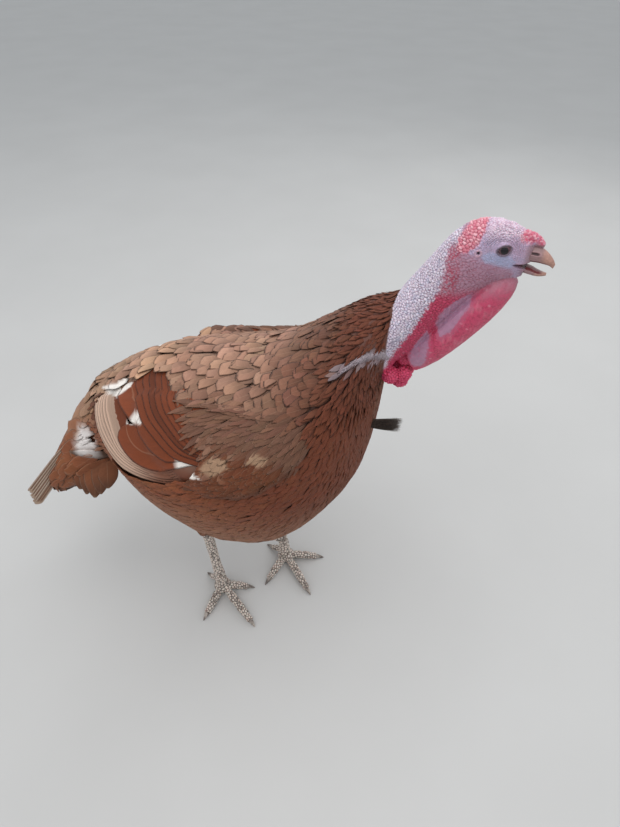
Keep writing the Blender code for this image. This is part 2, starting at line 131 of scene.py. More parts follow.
# The nape's grey-violet between the papillae: partly its own lavender, partly painted shade in the valleys.
NAPE_VALLEY_SHADE = linear(146, 122, 146)
NAPE_SPECK = linear(96, 80, 100)
CROWN_PINK = linear(230, 208, 222)
LILAC = linear(180, 158, 184)
CHEEK_BLUE = linear(164, 166, 196)
JAW_MAUVE = linear(164, 122, 140)
VIVID_RED = linear(200, 66, 102)
DEEP_RED = linear(154, 36, 64)
PANEL_LILAC = linear(174, 128, 154)
CHIN_PINK = linear(170, 112, 128)
SPECK_PINK = linear(232, 176, 186)
PATCH_RED = linear(196, 70, 98)
LID_GREY = linear(120, 100, 112)
MOUTH_RED = linear(92, 34, 36)
# Near black painted shade in holes: the ear openings, the nostrils, and the skin behind the lids' opening.
RECESS_SHADE = linear(50, 28, 34)

# Horn, scales
HORN = linear(168, 126, 112)
HORN_BASE = linear(146, 112, 114)
HORN_DARK = linear(112, 92, 84)
SCALE_PALE = linear(214, 200, 188)
SCALE_DARK = linear(112, 98, 90)
SCALE_GROOVE = linear(54, 45, 42)
QUILL = linear(206, 170, 140)
PALE_EDGE = linear(176, 142, 116)
# Dark feather edge: partly the feathers' own dark edge, partly painted shadow of the gap under each tip.
DARK_EDGE_AND_GAP_SHADE = linear(60, 38, 30)


def mix(first, second, share):
    share = np.asarray(share, float)[..., None]
    return first * (1 - share) + second * share


def ramp(value, low, high):
    share = np.clip((np.asarray(value, float) - low) / (high - low), 0, 1)
    return share * share * (3 - 2 * share)


def ridge(value, at, wide):
    """1 where the value is at the given place, falling away smoothly on both sides."""
    return np.exp(-(((value - at) / wide) ** 2))


def unit(vectors):
    return vectors / np.maximum(np.linalg.norm(vectors, axis=-1, keepdims=True), 1e-12)


# ---------------------------------------------------------------- meshes


def read(items, field, kind=np.float32):
    """One field of three numbers, of every item of a mesh."""
    found = np.empty(len(items) * 3, kind)
    items.foreach_get(field, found)
    return found.reshape(-1, 3)


def points_of(mesh):
    return read(mesh.vertices, "co").astype(float)


def triangles_of(mesh):
    mesh.calc_loop_triangles()
    return read(mesh.loop_triangles, "vertices", np.int32)


def normals_of(mesh):
    return read(mesh.vertices, "normal").astype(float)


def move_points(mesh, points):
    mesh.vertices.foreach_set("co", points.astype(np.float32).ravel())
    mesh.update()


def linked(name, data):
    piece = bpy.data.objects.new(name, data)
    bpy.context.scene.collection.objects.link(piece)
    return piece


def new_look(piece, material):
    piece.data.materials.clear()
    piece.data.materials.append(material)
    piece.data.polygons.foreach_set("material_index", np.zeros(len(piece.data.polygons), np.int32))
    piece.data.shade_smooth()
    return piece


def mesh_from(name, points, faces):
    mesh = bpy.data.meshes.new(name)
    mesh.from_pydata(points, [], faces)
    mesh.update()
    return mesh


def add_values(mesh, name, kind, field, values):
    """An attribute with one value for each vertex."""
    layer = mesh.attributes.new(name, kind, "POINT")
    layer.data.foreach_set(field, np.asarray(values, np.float32).ravel())


def add_tone(mesh, colours):
    opaque = np.concatenate((colours, np.ones((len(colours), 1))), axis=1)
    add_values(mesh, "tone", "FLOAT_COLOR", "color", opaque)


def add_vector(mesh, name, vectors):
    add_values(mesh, name, "FLOAT_VECTOR", "vector", vectors)


def applied(piece):
    """The piece with its modifiers applied."""
    graph = bpy.context.evaluated_depsgraph_get()
    graph.update()
    mesh = bpy.data.meshes.new_from_object(piece.evaluated_get(graph))
    piece.modifiers.clear()
    piece.data = mesh
    return piece


def smoothed(piece, rounds):
    modifier = piece.modifiers.new("Smooth", "SMOOTH")
    modifier.factor = 0.5
    modifier.iterations = rounds
    return applied(piece)


def shell_round(name, nodes, grow, voxel, rounds, extra=(), edit=None):
    """One closed mesh round several CAD nodes. They are grown to close the gaps, then let back in.
    Extra balls are joined in, and edit may change a node's mesh first."""
    body = bmesh.new()
    for node in nodes:
        part = bmesh.new()
        part.from_mesh(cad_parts[node].data)
        bmesh.ops.translate(part, verts=part.verts, vec=-OFFSET)
        bmesh.ops.remove_doubles(part, verts=part.verts, dist=1e-6)
        bmesh.ops.recalc_face_normals(part, faces=part.faces)
        part.normal_update()
        if edit:
            edit(node, part)
        for vert in part.verts:
            vert.co += vert.normal * grow
        held = bpy.data.meshes.new("held")
        part.to_mesh(held)
        part.free()
        body.from_mesh(held)
        bpy.data.meshes.remove(held)
    for centre, radius in extra:
        made = bmesh.ops.create_uvsphere(body, u_segments=32, v_segments=20, radius=radius)
        bmesh.ops.translate(body, verts=made["verts"], vec=Vector(centre))
    mesh = bpy.data.meshes.new(name)
    body.to_mesh(mesh)
    body.free()
    piece = linked(name, mesh)
    modifier = piece.modifiers.new("Remesh", "REMESH")
    modifier.mode = "VOXEL"
    modifier.voxel_size = voxel
    smoothed(applied(piece), rounds)
    mesh = piece.data
    move_points(mesh, points_of(mesh) - normals_of(mesh) * grow)
    return piece


def solid_arrays(node):
    """A CAD node's points, where this file measures them, and its triangles."""
    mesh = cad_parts[node].data
    return points_of(mesh) - np.array(OFFSET), triangles_of(mesh)


def tree_of(points, faces):
    return BVHTree.FromPolygons(points.tolist(), faces.tolist())


def node_tree(node):
    return tree_of(*solid_arrays(node))


def kd_tree(points):
    tree = KDTree(len(points))
    for i, point in enumerate(points):
        tree.insert(point, i)
    tree.balance()
    return tree


def gaps_to(tree, points):
    """How far points lie from a surface."""
    return np.array([tree.find_nearest(point)[3] for point in points])


def mottle(points, size, seed):
    """Smooth unevenness about 0, hardly ever beyond -1 or 1, with lumps of the given size."""
    rng = np.random.default_rng(seed)
    total = np.zeros(len(points))
    for _ in range(12):
        way = unit(rng.normal(0, 1, 3)) * 2 * math.pi / size * rng.uniform(0.5, 1.6)
        total += np.sin(points @ way + rng.uniform(0, 2 * math.pi))
    return total / 4.5


def nearest_on(tree, points):
    """The nearest places of the surface, and how its faces are turned there."""
    places, turns = np.empty((len(points), 3)), np.empty((len(points), 3))
    for i, point in enumerate(points):
        place, turn, _, _ = tree.find_nearest(point)
        places[i] = place
        turns[i] = turn
    return places, turns


# ---------------------------------------------------------------- materials


class Amount:
    """A number or vector that a shader's nodes work out. Sums written with it become maths nodes."""

    def __init__(self, shader, socket):
        self.shader = shader
        self.socket = socket

    def __add__(self, other):
        return self.shader.maths("ADD", self, other)

    def __sub__(self, other):
        return self.shader.maths("SUBTRACT", self, other)

    def __rsub__(self, other):
        return self.shader.maths("SUBTRACT", other, self)

    def __mul__(self, other):
        return self.shader.maths("MULTIPLY", self, other)

    def __abs__(self):
        return self.shader.maths("ABSOLUTE", self)


class Shader:
    """A node material that is built a node at a time. Fixed holds the surface's constant sockets."""

    def __init__(self, name, **fixed):
        self.material = bpy.data.materials.new(name)
        self.material.use_nodes = True
        self.tree = self.material.node_tree
        self.surface = self.tree.nodes["Principled BSDF"]
        for socket, value in fixed.items():
            self.surface.inputs[socket.replace("_", " ")].default_value = value

    def put(self, target, value):
        if isinstance(value, Amount):
            self.tree.links.new(value.socket, target)
        elif isinstance(value, (tuple, np.ndarray)):
            target.default_value = (*[float(v) for v in value], 1.0)
        else:
            target.default_value = value

    def node(self, kind, inputs, output=0, **settings):
        """Adds a node with the given settings and inputs, and gives one of its outputs."""
        node = self.tree.nodes.new("ShaderNode" + kind)
        for name, value in settings.items():
            setattr(node, name, value)
        for socket, value in inputs.items():
            self.put(node.inputs[socket], value)
        return Amount(self, node.outputs[output])

    def attribute(self, name, output="Color"):
        return self.node("Attribute", {}, output, attribute_name=name)

    def position(self):
        return self.node("TexCoord", {}, "Object")

    def maths(self, operation, first, second=0.0):
        return self.node("Math", {0: first, 1: second}, operation=operation)

    def smooth(self, value, low, high):
        return self.node("MapRange", {0: value, 1: low, 2: high}, interpolation_type="SMOOTHSTEP")

    def join(self, x, y, z):
        return self.node("CombineXYZ", {0: x, 1: y, 2: z})

    def split(self, vector):
        parts = self.node("SeparateXYZ", {0: vector}).socket.node.outputs
        return [Amount(self, part) for part in parts]

    def noise(self, vector, scale, detail=3.0, roughness=0.5):
        inputs = {"Vector": vector, "Scale": scale, "Detail": detail, "Roughness": roughness}
        return self.node("TexNoise", inputs)

    def blend(self, share, first, second, how="MIX"):
        inputs = {0: share, 6: first, 7: second}
        return self.node("Mix", inputs, 2, data_type="RGBA", blend_type=how, clamp_factor=True)

    def brightness(self, colour, value):
        """The colour times a value."""
        return self.blend(1.0, colour, self.join(value, value, value), "MULTIPLY")

    def finish(self, colour, roughness=None, height=None, distance=0.0, strength=1.0):
        """Wires up the surface. Distance and strength are the bump's."""
        self.put(self.surface.inputs["Base Color"], colour)
        if roughness is not None:
            self.put(self.surface.inputs["Roughness"], roughness)
        if height is not None:
            inputs = {"Height": height, "Distance": distance, "Strength": strength}
            self.put(self.surface.inputs["Normal"], self.node("Bump", inputs))
        return self.material


def feather_material(name, barbs, streak, rim, rim_tone, shaft, roughness, gloss):
    """Vane attribute: x runs from root to tip, y across from -1 to 1, z is the feather's own number.
    Barbs is how many barb ridges there are along it, and streak how much they vary in tone."""
    shader = Shader(
        name, Roughness=roughness, Specular_IOR_Level=gloss, Sheen_Weight=0.03, Sheen_Roughness=0.5
    )
    along, across, own = shader.split(shader.attribute("vane", "Vector"))
    away = abs(across)
    swept = along - away * 0.22
    seed = own * 40.0
    fine = shader.noise(shader.join(swept * barbs, across, seed), 1.0, 4.0, 0.65)
    broad = shader.noise(shader.join(swept * (barbs * 0.16), across, seed), 1.0, 2.0)
    level = (fine - 0.5) * streak + 1.0 + (broad - 0.5) * (streak * 0.7)
    tone = shader.brightness(shader.attribute("tone"), level)
    # The rim: with a pale tone it is the feathers' own fringe; with the dark tone it is partly painted shadow
    # of the gap under the tips.
    side_edge = shader.smooth(away + (fine - 0.5) * 0.16, 0.80, 0.98)
    tip_edge = shader.smooth(along + (fine - 0.5) * 0.05, 0.92, 0.99)
    tone = shader.blend(shader.maths("MAXIMUM", side_edge, tip_edge) * rim, tone, rim_tone)
    quill = shader.maths("SUBTRACT", 1.0, shader.smooth(away, 0.02, 0.07))
    tone = shader.blend(quill * shaft, tone, QUILL)
    return shader.finish(tone, None, fine + quill * 0.8, 0.0005, 0.55)


def skin_material():
    """Tone, relief and wetness come with the mesh. Fine folds and pores are bump, on bare skin only."""
    shader = Shader(
        "bare_skin", Roughness=0.48, Subsurface_Weight=0.12, Subsurface_Radius=(1.0, 0.35, 0.25),
        Subsurface_Scale=0.003,
    )
    place = shader.position()
    pores = shader.node("TexVoronoi", {"Vector": place, "Scale": 900.0}, "Distance")
    folds = shader.noise(place, 420.0, 3.0, 0.6)
    relief, wet, to_eye = shader.split(shader.attribute("finish", "Vector"))
    bent = to_eye + shader.noise(place, 90.0, 2.0) * 0.007
    ridge = shader.maths("SINE", bent * (2 * math.pi / 0.0019)) * shader.attribute("folded", "Fac")
    tone = shader.brightness(shader.attribute("tone"), folds * 0.28 + 0.86)
    # The tone follows the fold ridges round the eye: painted shade in their creases, lighter on their crests.
    tone = shader.brightness(tone, ridge * 0.08 + 1.0)
    grain = pores * -0.6 + folds + ridge * 0.7
    rough = shader.maths("SUBTRACT", 0.66, wet * 0.26) + (folds - 0.5) * 0.2
    return shader.finish(tone, rough, grain * relief, 0.0007, 0.8)


def bill_material():
    shader = Shader("bill_horn_look")
    place = shader.position()
    flakes = shader.noise(place, 380.0, 4.0, 0.6)
    clouds = shader.noise(place, 90.0, 2.0)
    tone = shader.brightness(shader.attribute("tone"), flakes * 0.36 + 0.72 + clouds * 0.2)
    return shader.finish(tone, flakes * 0.3 + 0.3, flakes, 0.0003, 0.6)


def claw_material():
    shader = Shader("claw_horn_look")
    place = shader.position()
    flakes = shader.noise(place, 500.0, 4.0, 0.6)
    clouds = shader.noise(place, 120.0, 2.0)
    tone = shader.blend(shader.smooth(clouds, 0.35, 0.65), SCALE_DARK * 0.6, SCALE_PALE * 0.6)
    tone = shader.brightness(tone, flakes * 0.5 + 0.75)
    return shader.finish(tone, flakes * 0.3 + 0.35, flakes, 0.0003, 0.6)


def eye_material():
    """Ring: x runs from 0 at the pupil's middle to 1 at the edge of the ball's front half.
    Y is the cosine of the turn round it."""
    shader = Shader(
        "eye_look", Roughness=0.16, Specular_IOR_Level=0.3, Coat_Weight=0.25, Coat_Roughness=0.02
    )
    ring, spoke, _ = shader.split(shader.attribute("ring", "Vector"))
    fibres = shader.noise(shader.join(spoke * 9.0, ring, 0.0), 3.0, 3.0, 0.6)
    iris = shader.blend(shader.smooth(fibres, 0.35, 0.7), linear(72, 44, 54), linear(112, 76, 82))
    tone = shader.blend(shader.smooth(ring, 0.27, 0.34), (0.006, 0.004, 0.006), iris)
    tone = shader.blend(shader.smooth(ring, 0.60, 0.70), tone, linear(30, 20, 20))
    return shader.finish(tone)


def hair_material(name, dark, pale):
    shader = Shader(name, Roughness=0.62)
    along, _, own = shader.split(shader.attribute("vane", "Vector"))
    streaks = shader.noise(shader.join(along * 6.0, own, 0.0), 3.0, 3.0)
    tone = shader.blend(shader.smooth(streaks, 0.3, 0.7), dark, pale)
    return shader.finish(tone, None, streaks, 0.0002, 0.5)


# ---------------------------------------------------------------- surfaces that the coat lies on

PLUMED = (
    "trunk", "neck_feathered", "thigh_left", "thigh_right", "wing_coverts_left", "wing_coverts_right",
    "tail_coverts",
)
FLIGHTS = ("wing_flight_left", "wing_flight_right")
BARE = ("head", "neck_bare", "dewlap", "caruncles", "snood")
LEGS = tuple(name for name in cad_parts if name.startswith(("tarsus", "toe_")))
CLAWS = tuple(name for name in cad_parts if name.startswith("claw"))

COATED = PLUMED + FLIGHTS + ("neck_bare",)

envelope = shell_round("envelope", COATED, *ENVELOPE_SHELL)
envelope_tree = tree_of(points_of(envelope.data), triangles_of(envelope.data))
tarsus_top = box("tarsus_right")[1][2]


def eye_frame(side, sign):
    """The eye's middle and radius, and its gaze, long axis and up axis."""
    low, high = box("eye_" + side)
    gaze = unit(np.array((0.22, sign, 0.10)))
    rising = np.array((math.cos(math.radians(24)), 0.0, math.sin(math.radians(24))))
    long_axis = unit(rising - gaze * rising.dot(gaze))
    upward = np.cross(long_axis, gaze) * -sign
    return (low + high) / 2, (high - low).max() / 2, gaze, long_axis, upward


EYES = [eye_frame(*side) for side in SIDES]
EYE = (EYES[0][0] + EYES[1][0]) / 2  # on the middle plane
LID_THICKNESS = 0.9 * MM
# The lids' rim and the two folds round it: how far from the opening, how wide and how high, in mm.
LID_RIDGES = ((0.5, 0.9, 0.7), (3.0, 0.7, -0.6), (5.0, 0.8, -0.35))
EYE_SINK = 1.6 * MM  # how far the skin behind the opening lies inside the ball
OPENING = np.array((6.7, 4.3)) * MM  # the lids' opening, half its length and half its height


def reach_down(node, part):
    """Runs the bare neck's lower end on into the feathered neck, so that the skin is one."""
    if node != "neck_bare":
        return
    low, high = box("neck_feathered")
    tree = node_tree("neck_feathered")
    ring = [vert for vert in part.verts if tree.find_nearest(vert.co)[3] < 0.7 * MM]
    middle = sum((vert.co for vert in ring), Vector()) / len(ring)
    inward = (Vector((low + high) / 2) - middle).normalized() * 0.012
    for vert in ring:
        vert.co = middle + (vert.co - middle) * 0.92 + inward


def coat_depth(points):
    """How deep the skin lies under the feather tips: less at the collar and the belly, more at the tail."""
    depth = np.full(len(points), 7.0)
    to_collar = np.linalg.norm(points - np.array((0.240, 0.0, 0.580)), axis=1)
    depth *= ramp(to_collar, 0.05, 0.10) * 0.76 + 0.24
    depth += 7.0 * ramp(-points[:, 0], 0.17, 0.24)
    depth -= 3.0 * ramp(-points[:, 2], -0.21, -0.17)
    return depth * MM


def make_body_skin():
    body = shell_round("body_skin", PLUMED, *BODY_SHELL)
    points, normals = points_of(body.data), normals_of(body.data)
    tree = tree_of(points, triangles_of(body.data))
    room = np.empty(len(points))
    for i, (point, normal) in enumerate(zip(points, normals)):
        struck = tree.ray_cast(Vector(point - normal * 1e-4), Vector(-normal))
        room[i] = struck[3] if struck[0] else 0.1
    depth = np.minimum(coat_depth(points), 0.4 * room)
    move_points(body.data, points - normals * depth[:, None])
    return smoothed(body, 3)


def united(first, others):
    for other in others:
        modifier = first.modifiers.new("Union", "BOOLEAN")
        modifier.operation = "UNION"
        modifier.solver = "MANIFOLD"
        modifier.object = other
        applied(first)
        bpy.data.objects.remove(other)
    return first


# ---------------------------------------------------------------- markings of the bare skin


def off_line(points, line, radius):
    """How near the points lie in side view to a line through the given places: 1 on it, 0 from radius on."""
    spots = points[:, (0, 2)]
    nearest = np.full(len(points), np.inf)
    line = np.array(line)
    for start, end in zip(line[:-1], line[1:]):
        run = end - start
        share = np.clip((spots - start) @ run / (run @ run), 0, 1)
        gap = np.linalg.norm(spots - start - share[:, None] * run, axis=1)
        nearest = np.minimum(nearest, gap)
    return 1 - ramp(nearest, 0.55 * radius, 1.25 * radius)


# The bare skin's markings in side view.
PATCH = (
    (0.3215, 0.7460), (0.3210, 0.7260), (0.3160, 0.7120), (0.3060, 0.7010), (0.2975, 0.7035),
    (0.2960, 0.7120), (0.3000, 0.7215), (0.3075, 0.7320), (0.3090, 0.7460),
)
RED_BAND = (
    (0.2955, 0.7000), (0.2960, 0.6790), (0.2945, 0.6600), (0.2870, 0.6450), (0.2785, 0.6250),
    (0.2685, 0.6010), (0.2545, 0.5760), (0.2455, 0.5560), (0.2430, 0.5400),
)
STRAND = ((0.279, 0.625), (0.2825, 0.610), (0.286, 0.597), (0.290, 0.582), (0.294, 0.568))
UPPER_PANEL = (
    (0.3190, 0.6570), (0.3020, 0.6450), (0.2890, 0.6280), (0.2860, 0.6110),
    (0.2930, 0.5970), (0.3040, 0.6070), (0.3110, 0.6230), (0.3190, 0.6410),
)
LOWER_PANEL = (
    (0.2780, 0.6040), (0.2660, 0.5810), (0.2605, 0.5600), (0.2670, 0.5460),
    (0.2760, 0.5480), (0.2810, 0.5620), (0.2820, 0.5830),
)
BROW = ((0.350, 0.716), (0.362, 0.712))
JAW = ((0.310, 0.692), (0.326, 0.686), (0.346, 0.679))
CHEEK = ((0.3290, 0.7020), (0.3500, 0.6995))
SNOOD_ROOT = ((0.3600, 0.7240), (0.3670, 0.7220))
EAR = (0.3185, 0.7050)
MOUTH_LINE = ((0.3540, 0.3640, 0.3720), (0.6962, 0.6938, 0.6920))  # its height, by how far forward
MOUTH_OPEN = ((0.3535, 0.3570, 0.3700), (0.5, 1.6, 4.2))  # half its height in mm, by how far forward
FACE_FRONT = (0.3620, 0.3705)  # where the face draws in to meet the bill
BILL_TOP = 0.7165
JAW_SPAN = (0.676, 0.682)
JAW_FOOT = 0.691
NOSTRIL = np.array((3.2, 1.5)) * MM  # half its length and half its height
NOSTRIL_PLACE = np.array((3.6, -6.6)) * MM  # from the upper bill's back end and top
LOBE_GAP = (0.2535, 0.0, 0.5500)  # between the dewlap's lower end and the lobes

# Heights between which one part of the bare skin gives way to the next.
LOBES_END = (0.540, 0.552)
FACE_STARTS = (0.676, 0.690)

Grain = namedtuple("Grain", "beads bead_tone patchy fine ragged")


def within(points, outline, ragged=0.0, soft=1.3 * MM):
    """How deep points lie within an outline in side view, as a weight from 0 to 1 across its soft edge."""
    x, z = points[:, 0], points[:, 2]
    outline = np.array(outline)
    crossed = np.zeros(len(points), bool)
    nearest = np.full(len(points), np.inf)
    for (ax, az), (bx, bz) in zip(outline, np.roll(outline, -1, axis=0)):
        run_x, run_z = bx - ax, bz - az
        reach = run_x * (z - az) / (run_z + 1e-12) + ax
        crossed ^= ((az > z) != (bz > z)) & (x < reach)
        share = np.clip(((x - ax) * run_x + (z - az) * run_z) / (run_x**2 + run_z**2), 0, 1)
        gap = np.hypot(x - ax - share * run_x, z - az - share * run_z)
        nearest = np.minimum(nearest, gap)
    signed = np.where(crossed, nearest, -nearest) + ragged
    return ramp(signed, -soft, soft)


def scattered(points, spacing, rng):
    """Indices of points that lie no closer together than the spacing at each."""
    tree = kd_tree(points)
    free = np.ones(len(points), bool)
    kept = []
    for i in rng.permutation(len(points)):
        if not free[i]:
            continue
        kept.append(i)
        for _, other, _ in tree.find_range(points[i], spacing[i]):
            free[other] = False
    return np.array(kept)


def two_nearest(seeds, points):
    """Distance of each point to the nearest and the second nearest seed, and which the nearest is."""
    tree = kd_tree(seeds)
    first, second, which = (np.empty(len(points)) for _ in range(3))
    for i, point in enumerate(points):
        (_, index, near), (_, _, next_near) = tree.find_n(point, 2)
        first[i], second[i], which[i] = near, next_near, index
    return first, second, which.astype(int)


def ahead_of_band(points):
    """How far forward of the red band the points lie."""
    along, up = np.array(RED_BAND[::-1]).T
    return points[:, 0] - np.interp(points[:, 2], up, along)


def paint_neck(points, grain, red, mauve):
    """The pale beaded nape, and the red band between it and the throat."""
    x, z = points[:, 0], points[:, 2]
    # Grey-violet valleys between white bead tops: partly the skin's own lavender specks, partly painted shade
    # between the papillae.
    valley = mix(NAPE_VALLEY_SHADE, NAPE_SPECK, ramp(grain.fine + 0.6 * grain.patchy, 0.1, 0.7))
    nape = mix(valley, NAPE_WHITE, ramp(grain.beads, 0.15, 0.75) * (0.72 + 0.28 * grain.bead_tone))
    nape = mix(nape, CHEEK_BLUE * 1.2, ramp(grain.patchy, 0.1, 0.9) * 0.2)
    throat = mix(red, mauve, ramp(z, 0.645, 0.668))
    tone = mix(nape, throat, ramp(ahead_of_band(points) + grain.ragged, 0.0, 5 * MM))
    collar = (1 - ramp(np.abs(z - 0.552), 3 * MM, 9 * MM)) * (1 - ramp(x, 0.242, 0.247))
    tone = mix(tone, NAPE_WHITE * 0.86, collar * 0.6)
    band = off_line(points, RED_BAND, 7.0 * MM + 2.6 * MM * grain.fine)
    tone = mix(tone, red, band * (1 - ramp(z, 0.650, 0.664)))
    upper_band = off_line(points, RED_BAND, 9.0 * MM + 3 * MM * grain.fine) * ramp(z, 0.645, 0.664)
    # Mauve on the bead tops, deep red in between: painted highlight and shade of the papillae.
    dusky = mix(DEEP_RED * 1.2, JAW_MAUVE * 0.95, ramp(grain.beads + 0.7 * grain.fine, 0.5, 1.1))
    return mix(tone, dusky, upper_band * 0.85)


def paint_face(tone, points, grain, mauve):
    """The lilac face with its mauve jaw, pale crown, blue cheek and red patch of lobes."""
    x, z = points[:, 0], points[:, 2]
    head = ramp(z - 0.55 * (0.33 - x), *FACE_STARTS) * ramp(x, 0.296, 0.312)
    # Lilac lighter on the bead tops and darker in the valleys: painted highlight and shade of the papillae.
    tone = mix(tone, mix(LILAC * 0.80, LILAC * 1.12, grain.beads), head)
    tone = mix(tone, mauve, off_line(points, JAW, 13 * MM + 3 * MM * grain.patchy) * 0.85)
    crown = ramp(z, 0.716, 0.727) * ramp(x, 0.316, 0.328)
    pale = mix(LILAC, SPECK_PINK, 0.3)
    # The crown's palest pink on the bead tops: partly painted highlight.
    pale = mix(pale, CROWN_PINK * 1.05, ramp(grain.beads + 0.5 * grain.fine, 0.2, 0.8))
    tone = mix(tone, pale * 0.88, crown * 0.95)
    tone = mix(tone, mix(LILAC, JAW_MAUVE * 1.15, 0.4), off_line(points, BROW, 7 * MM) * 0.7)
    cheek = off_line(points, CHEEK, 6.5 * MM + 1.2 * MM * grain.patchy)
    tone = mix(tone, CHEEK_BLUE * (1 + 0.12 * grain.fine[:, None]), cheek * 0.8)
    # The lobes: pink tops, partly painted highlight, and valleys darkened to 0.75, painted shade.
    lobes = mix(PATCH_RED, SPECK_PINK, 0.25 + 0.75 * grain.bead_tone)
    lobes = mix(PATCH_RED * 0.75, lobes, ramp(grain.beads, 0.1, 0.7))
    return mix(tone, lobes, within(points, PATCH, grain.ragged))


def paint_dewlap(tone, points, grain, red, on_dewlap):
    """The red dewlap with its pale chin and lilac panels, the strand behind it and the lobes under it."""
    x, z = points[:, 0], points[:, 2]
    fine, patchy, ragged = grain.fine, grain.patchy, grain.ragged
    sac = mix(VIVID_RED, DEEP_RED, ramp(fine + 0.4 * patchy, -0.2, 1.0) * 0.55)
    streaked = mottle(points * np.array((2.2, 0.4, 0.5)), 12 * MM, 6)
    sac = mix(sac, SPECK_PINK, ramp(streaked, 0.0, 1.3) * 0.20)
    sac = mix(sac, SPECK_PINK, ramp(grain.bead_tone, 0.94, 0.97) * grain.beads * 0.35)
    chin = ramp(z + 3 * MM * patchy - 0.25 * (x - 0.33), 0.640, 0.676)
    sac = mix(sac, CHIN_PINK * (1.1 + 0.1 * fine[:, None]), chin * 0.9)
    tone = mix(tone, sac, on_dewlap)
    lilac = PANEL_LILAC * (1 + 0.07 * patchy[:, None] + 0.05 * fine[:, None])
    veined = mix(lilac, VIVID_RED, ramp(fine - 0.5 * patchy, 0.55, 1.2) * 0.35)
    upper, lower = within(points, UPPER_PANEL, ragged * 0.8), within(points, LOWER_PANEL, ragged * 0.8)
    upper_blush = within(points, UPPER_PANEL, ragged + 5 * MM)
    blush = np.maximum(upper_blush, within(points, LOWER_PANEL, ragged + 3 * MM))
    tone = mix(tone, mix(red, lilac, 0.5), blush * 0.45 * on_dewlap)
    tone = mix(tone, veined, np.maximum(upper, lower))
    tone = mix(tone, red, off_line(points, STRAND, 3.4 * MM + 1.2 * MM * fine) * 0.9)
    gap = (LOBE_GAP[0], LOBE_GAP[2])
    tone = mix(tone, red, off_line(points, (gap, (gap[0] + 1e-5, gap[1])), 8 * MM))
    # The lobes under the dewlap: brighter on the bead tops, painted highlight, darker between them, painted
    # shade.
    return mix(tone, mix(DEEP_RED * 1.3, VIVID_RED * 1.2, grain.beads), 1 - ramp(z, *LOBES_END))


def paint_bare_skin(points, beads, bead_tone, on_dewlap):
    """Tone of the head and neck. Beads is the height of the papillae, 0 in their valleys and 1 on top. The
    tone follows the beads: painted highlight on their tops, painted shade in their valleys, over the skin's
    own colours.
    """
    patchy, fine = mottle(points, 9 * MM, 1), mottle(points, 3.5 * MM, 2)
    grain = Grain(beads, bead_tone, patchy, fine, 1.2 * MM * fine + 0.9 * MM * (bead_tone - 0.5))
    # Reds and mauves brighter on the bead tops, painted highlight, and darker in the valleys, painted shade.
    red = mix(DEEP_RED, VIVID_RED, np.clip(beads * (0.55 + 0.6 * bead_tone), 0, 1))
    mauve = mix(mix(JAW_MAUVE, DEEP_RED, 0.35), JAW_MAUVE * 1.1, ramp(beads + 0.5 * fine, 0.2, 0.7))
    tone = paint_neck(points, grain, red, mauve)
    tone = paint_face(tone, points, grain, mauve)
    tone = paint_dewlap(tone, points, grain, red, on_dewlap)
    snood = mix(PATCH_RED, SPECK_PINK, ramp(bead_tone + 0.3 * fine, 0.2, 0.9) * 0.75)
    tone = mix(tone, snood, off_line(points, SNOOD_ROOT, 5.6 * MM + 1.4 * MM * fine) * 0.9)
    return mix(tone, snood, ramp(points[:, 0], 0.3685, 0.374) * ramp(points[:, 2], 0.7135, 0.716) * 0.9)


def shape_lids(points, tone):
    """Opens each eye: the skin over the ball is parted to an almond, with a rim and two folds round it."""
    long_half, high_half = OPENING
    for centre, radius, gaze, long_axis, upward in EYES:
        away = points - centre
        distance = np.linalg.norm(away, axis=1)
        near = (away @ gaze > -1 * MM) & (distance < radius + 6 * MM)
        along, rise = away[near] @ long_axis, away[near] @ upward
        level = np.sqrt((along / long_half) ** 2 + (np.abs(rise) / high_half) ** 1.6)
        gap = (level - 1) * (long_half + high_half) / 2 * np.clip(0.6 + 0.4 * level, 0.5, 1.5)
        lid = (radius + LID_THICKNESS) * (1 - 0.12 * ramp(gap, 2 * MM, 7 * MM))
        relief = sum(ridge(gap, at * MM, wide * MM) * high * MM for at, wide, high in LID_RIDGES)
        outside = np.maximum(distance[near], lid) + relief
        depth = np.where(gap >= 0, outside, radius - EYE_SINK)
        edge = (gap < 0) & (gap > -0.55 * MM)
        depth = np.where(edge, radius + 0.15 * MM, depth)
        points[near] = centre + away[near] / distance[near][:, None] * depth[:, None]
        tone[near] = mix(tone[near], LID_GREY * 0.6, ridge(gap, 0.2 * MM, 1.0 * MM) * 0.85)
        # Behind the opening the skin is painted dark: painted shade in the gap round the ball.
        tone[near] = mix(tone[near], RECESS_SHADE, ramp(-gap, 0.1 * MM, 0.5 * MM))
    return points, tone


NECK_RUN = np.array((0.36, 0.0, 0.93))  # up along the bare neck
BEADS_DRAWN_OUT = 0.55  # how much shorter the papillae are along the neck than across it
NAPE_DRAWN_IN = 3.5  # mm
NAPE_WAY = np.array((0.93, 0.0, -0.36))
COLLAR_EDGE = ((0.50, 0.545, 0.57, 0.62, 0.64), (0.228, 0.2345, 0.2385, 0.2405, 0.2370))


def bare_edge(z):
    """How far forward the feathers end on the neck, at heights."""
    return np.interp(z, *COLLAR_EDGE)


def slim_nape(points):
    """Draws the back of the neck in between the collar and the crown."""
    x, z = points[:, 0], points[:, 2]
    share = ramp(-ahead_of_band(points), 0.0, 0.030)
    share = share * (0.60 + 0.40 * ramp(x - bare_edge(z), 0.0, 0.024))
    share *= ramp(z, 0.56, 0.60) * (1 - ramp(z, 0.705, 0.735))
    return points + (share * NAPE_DRAWN_IN * MM)[:, None] * NAPE_WAY


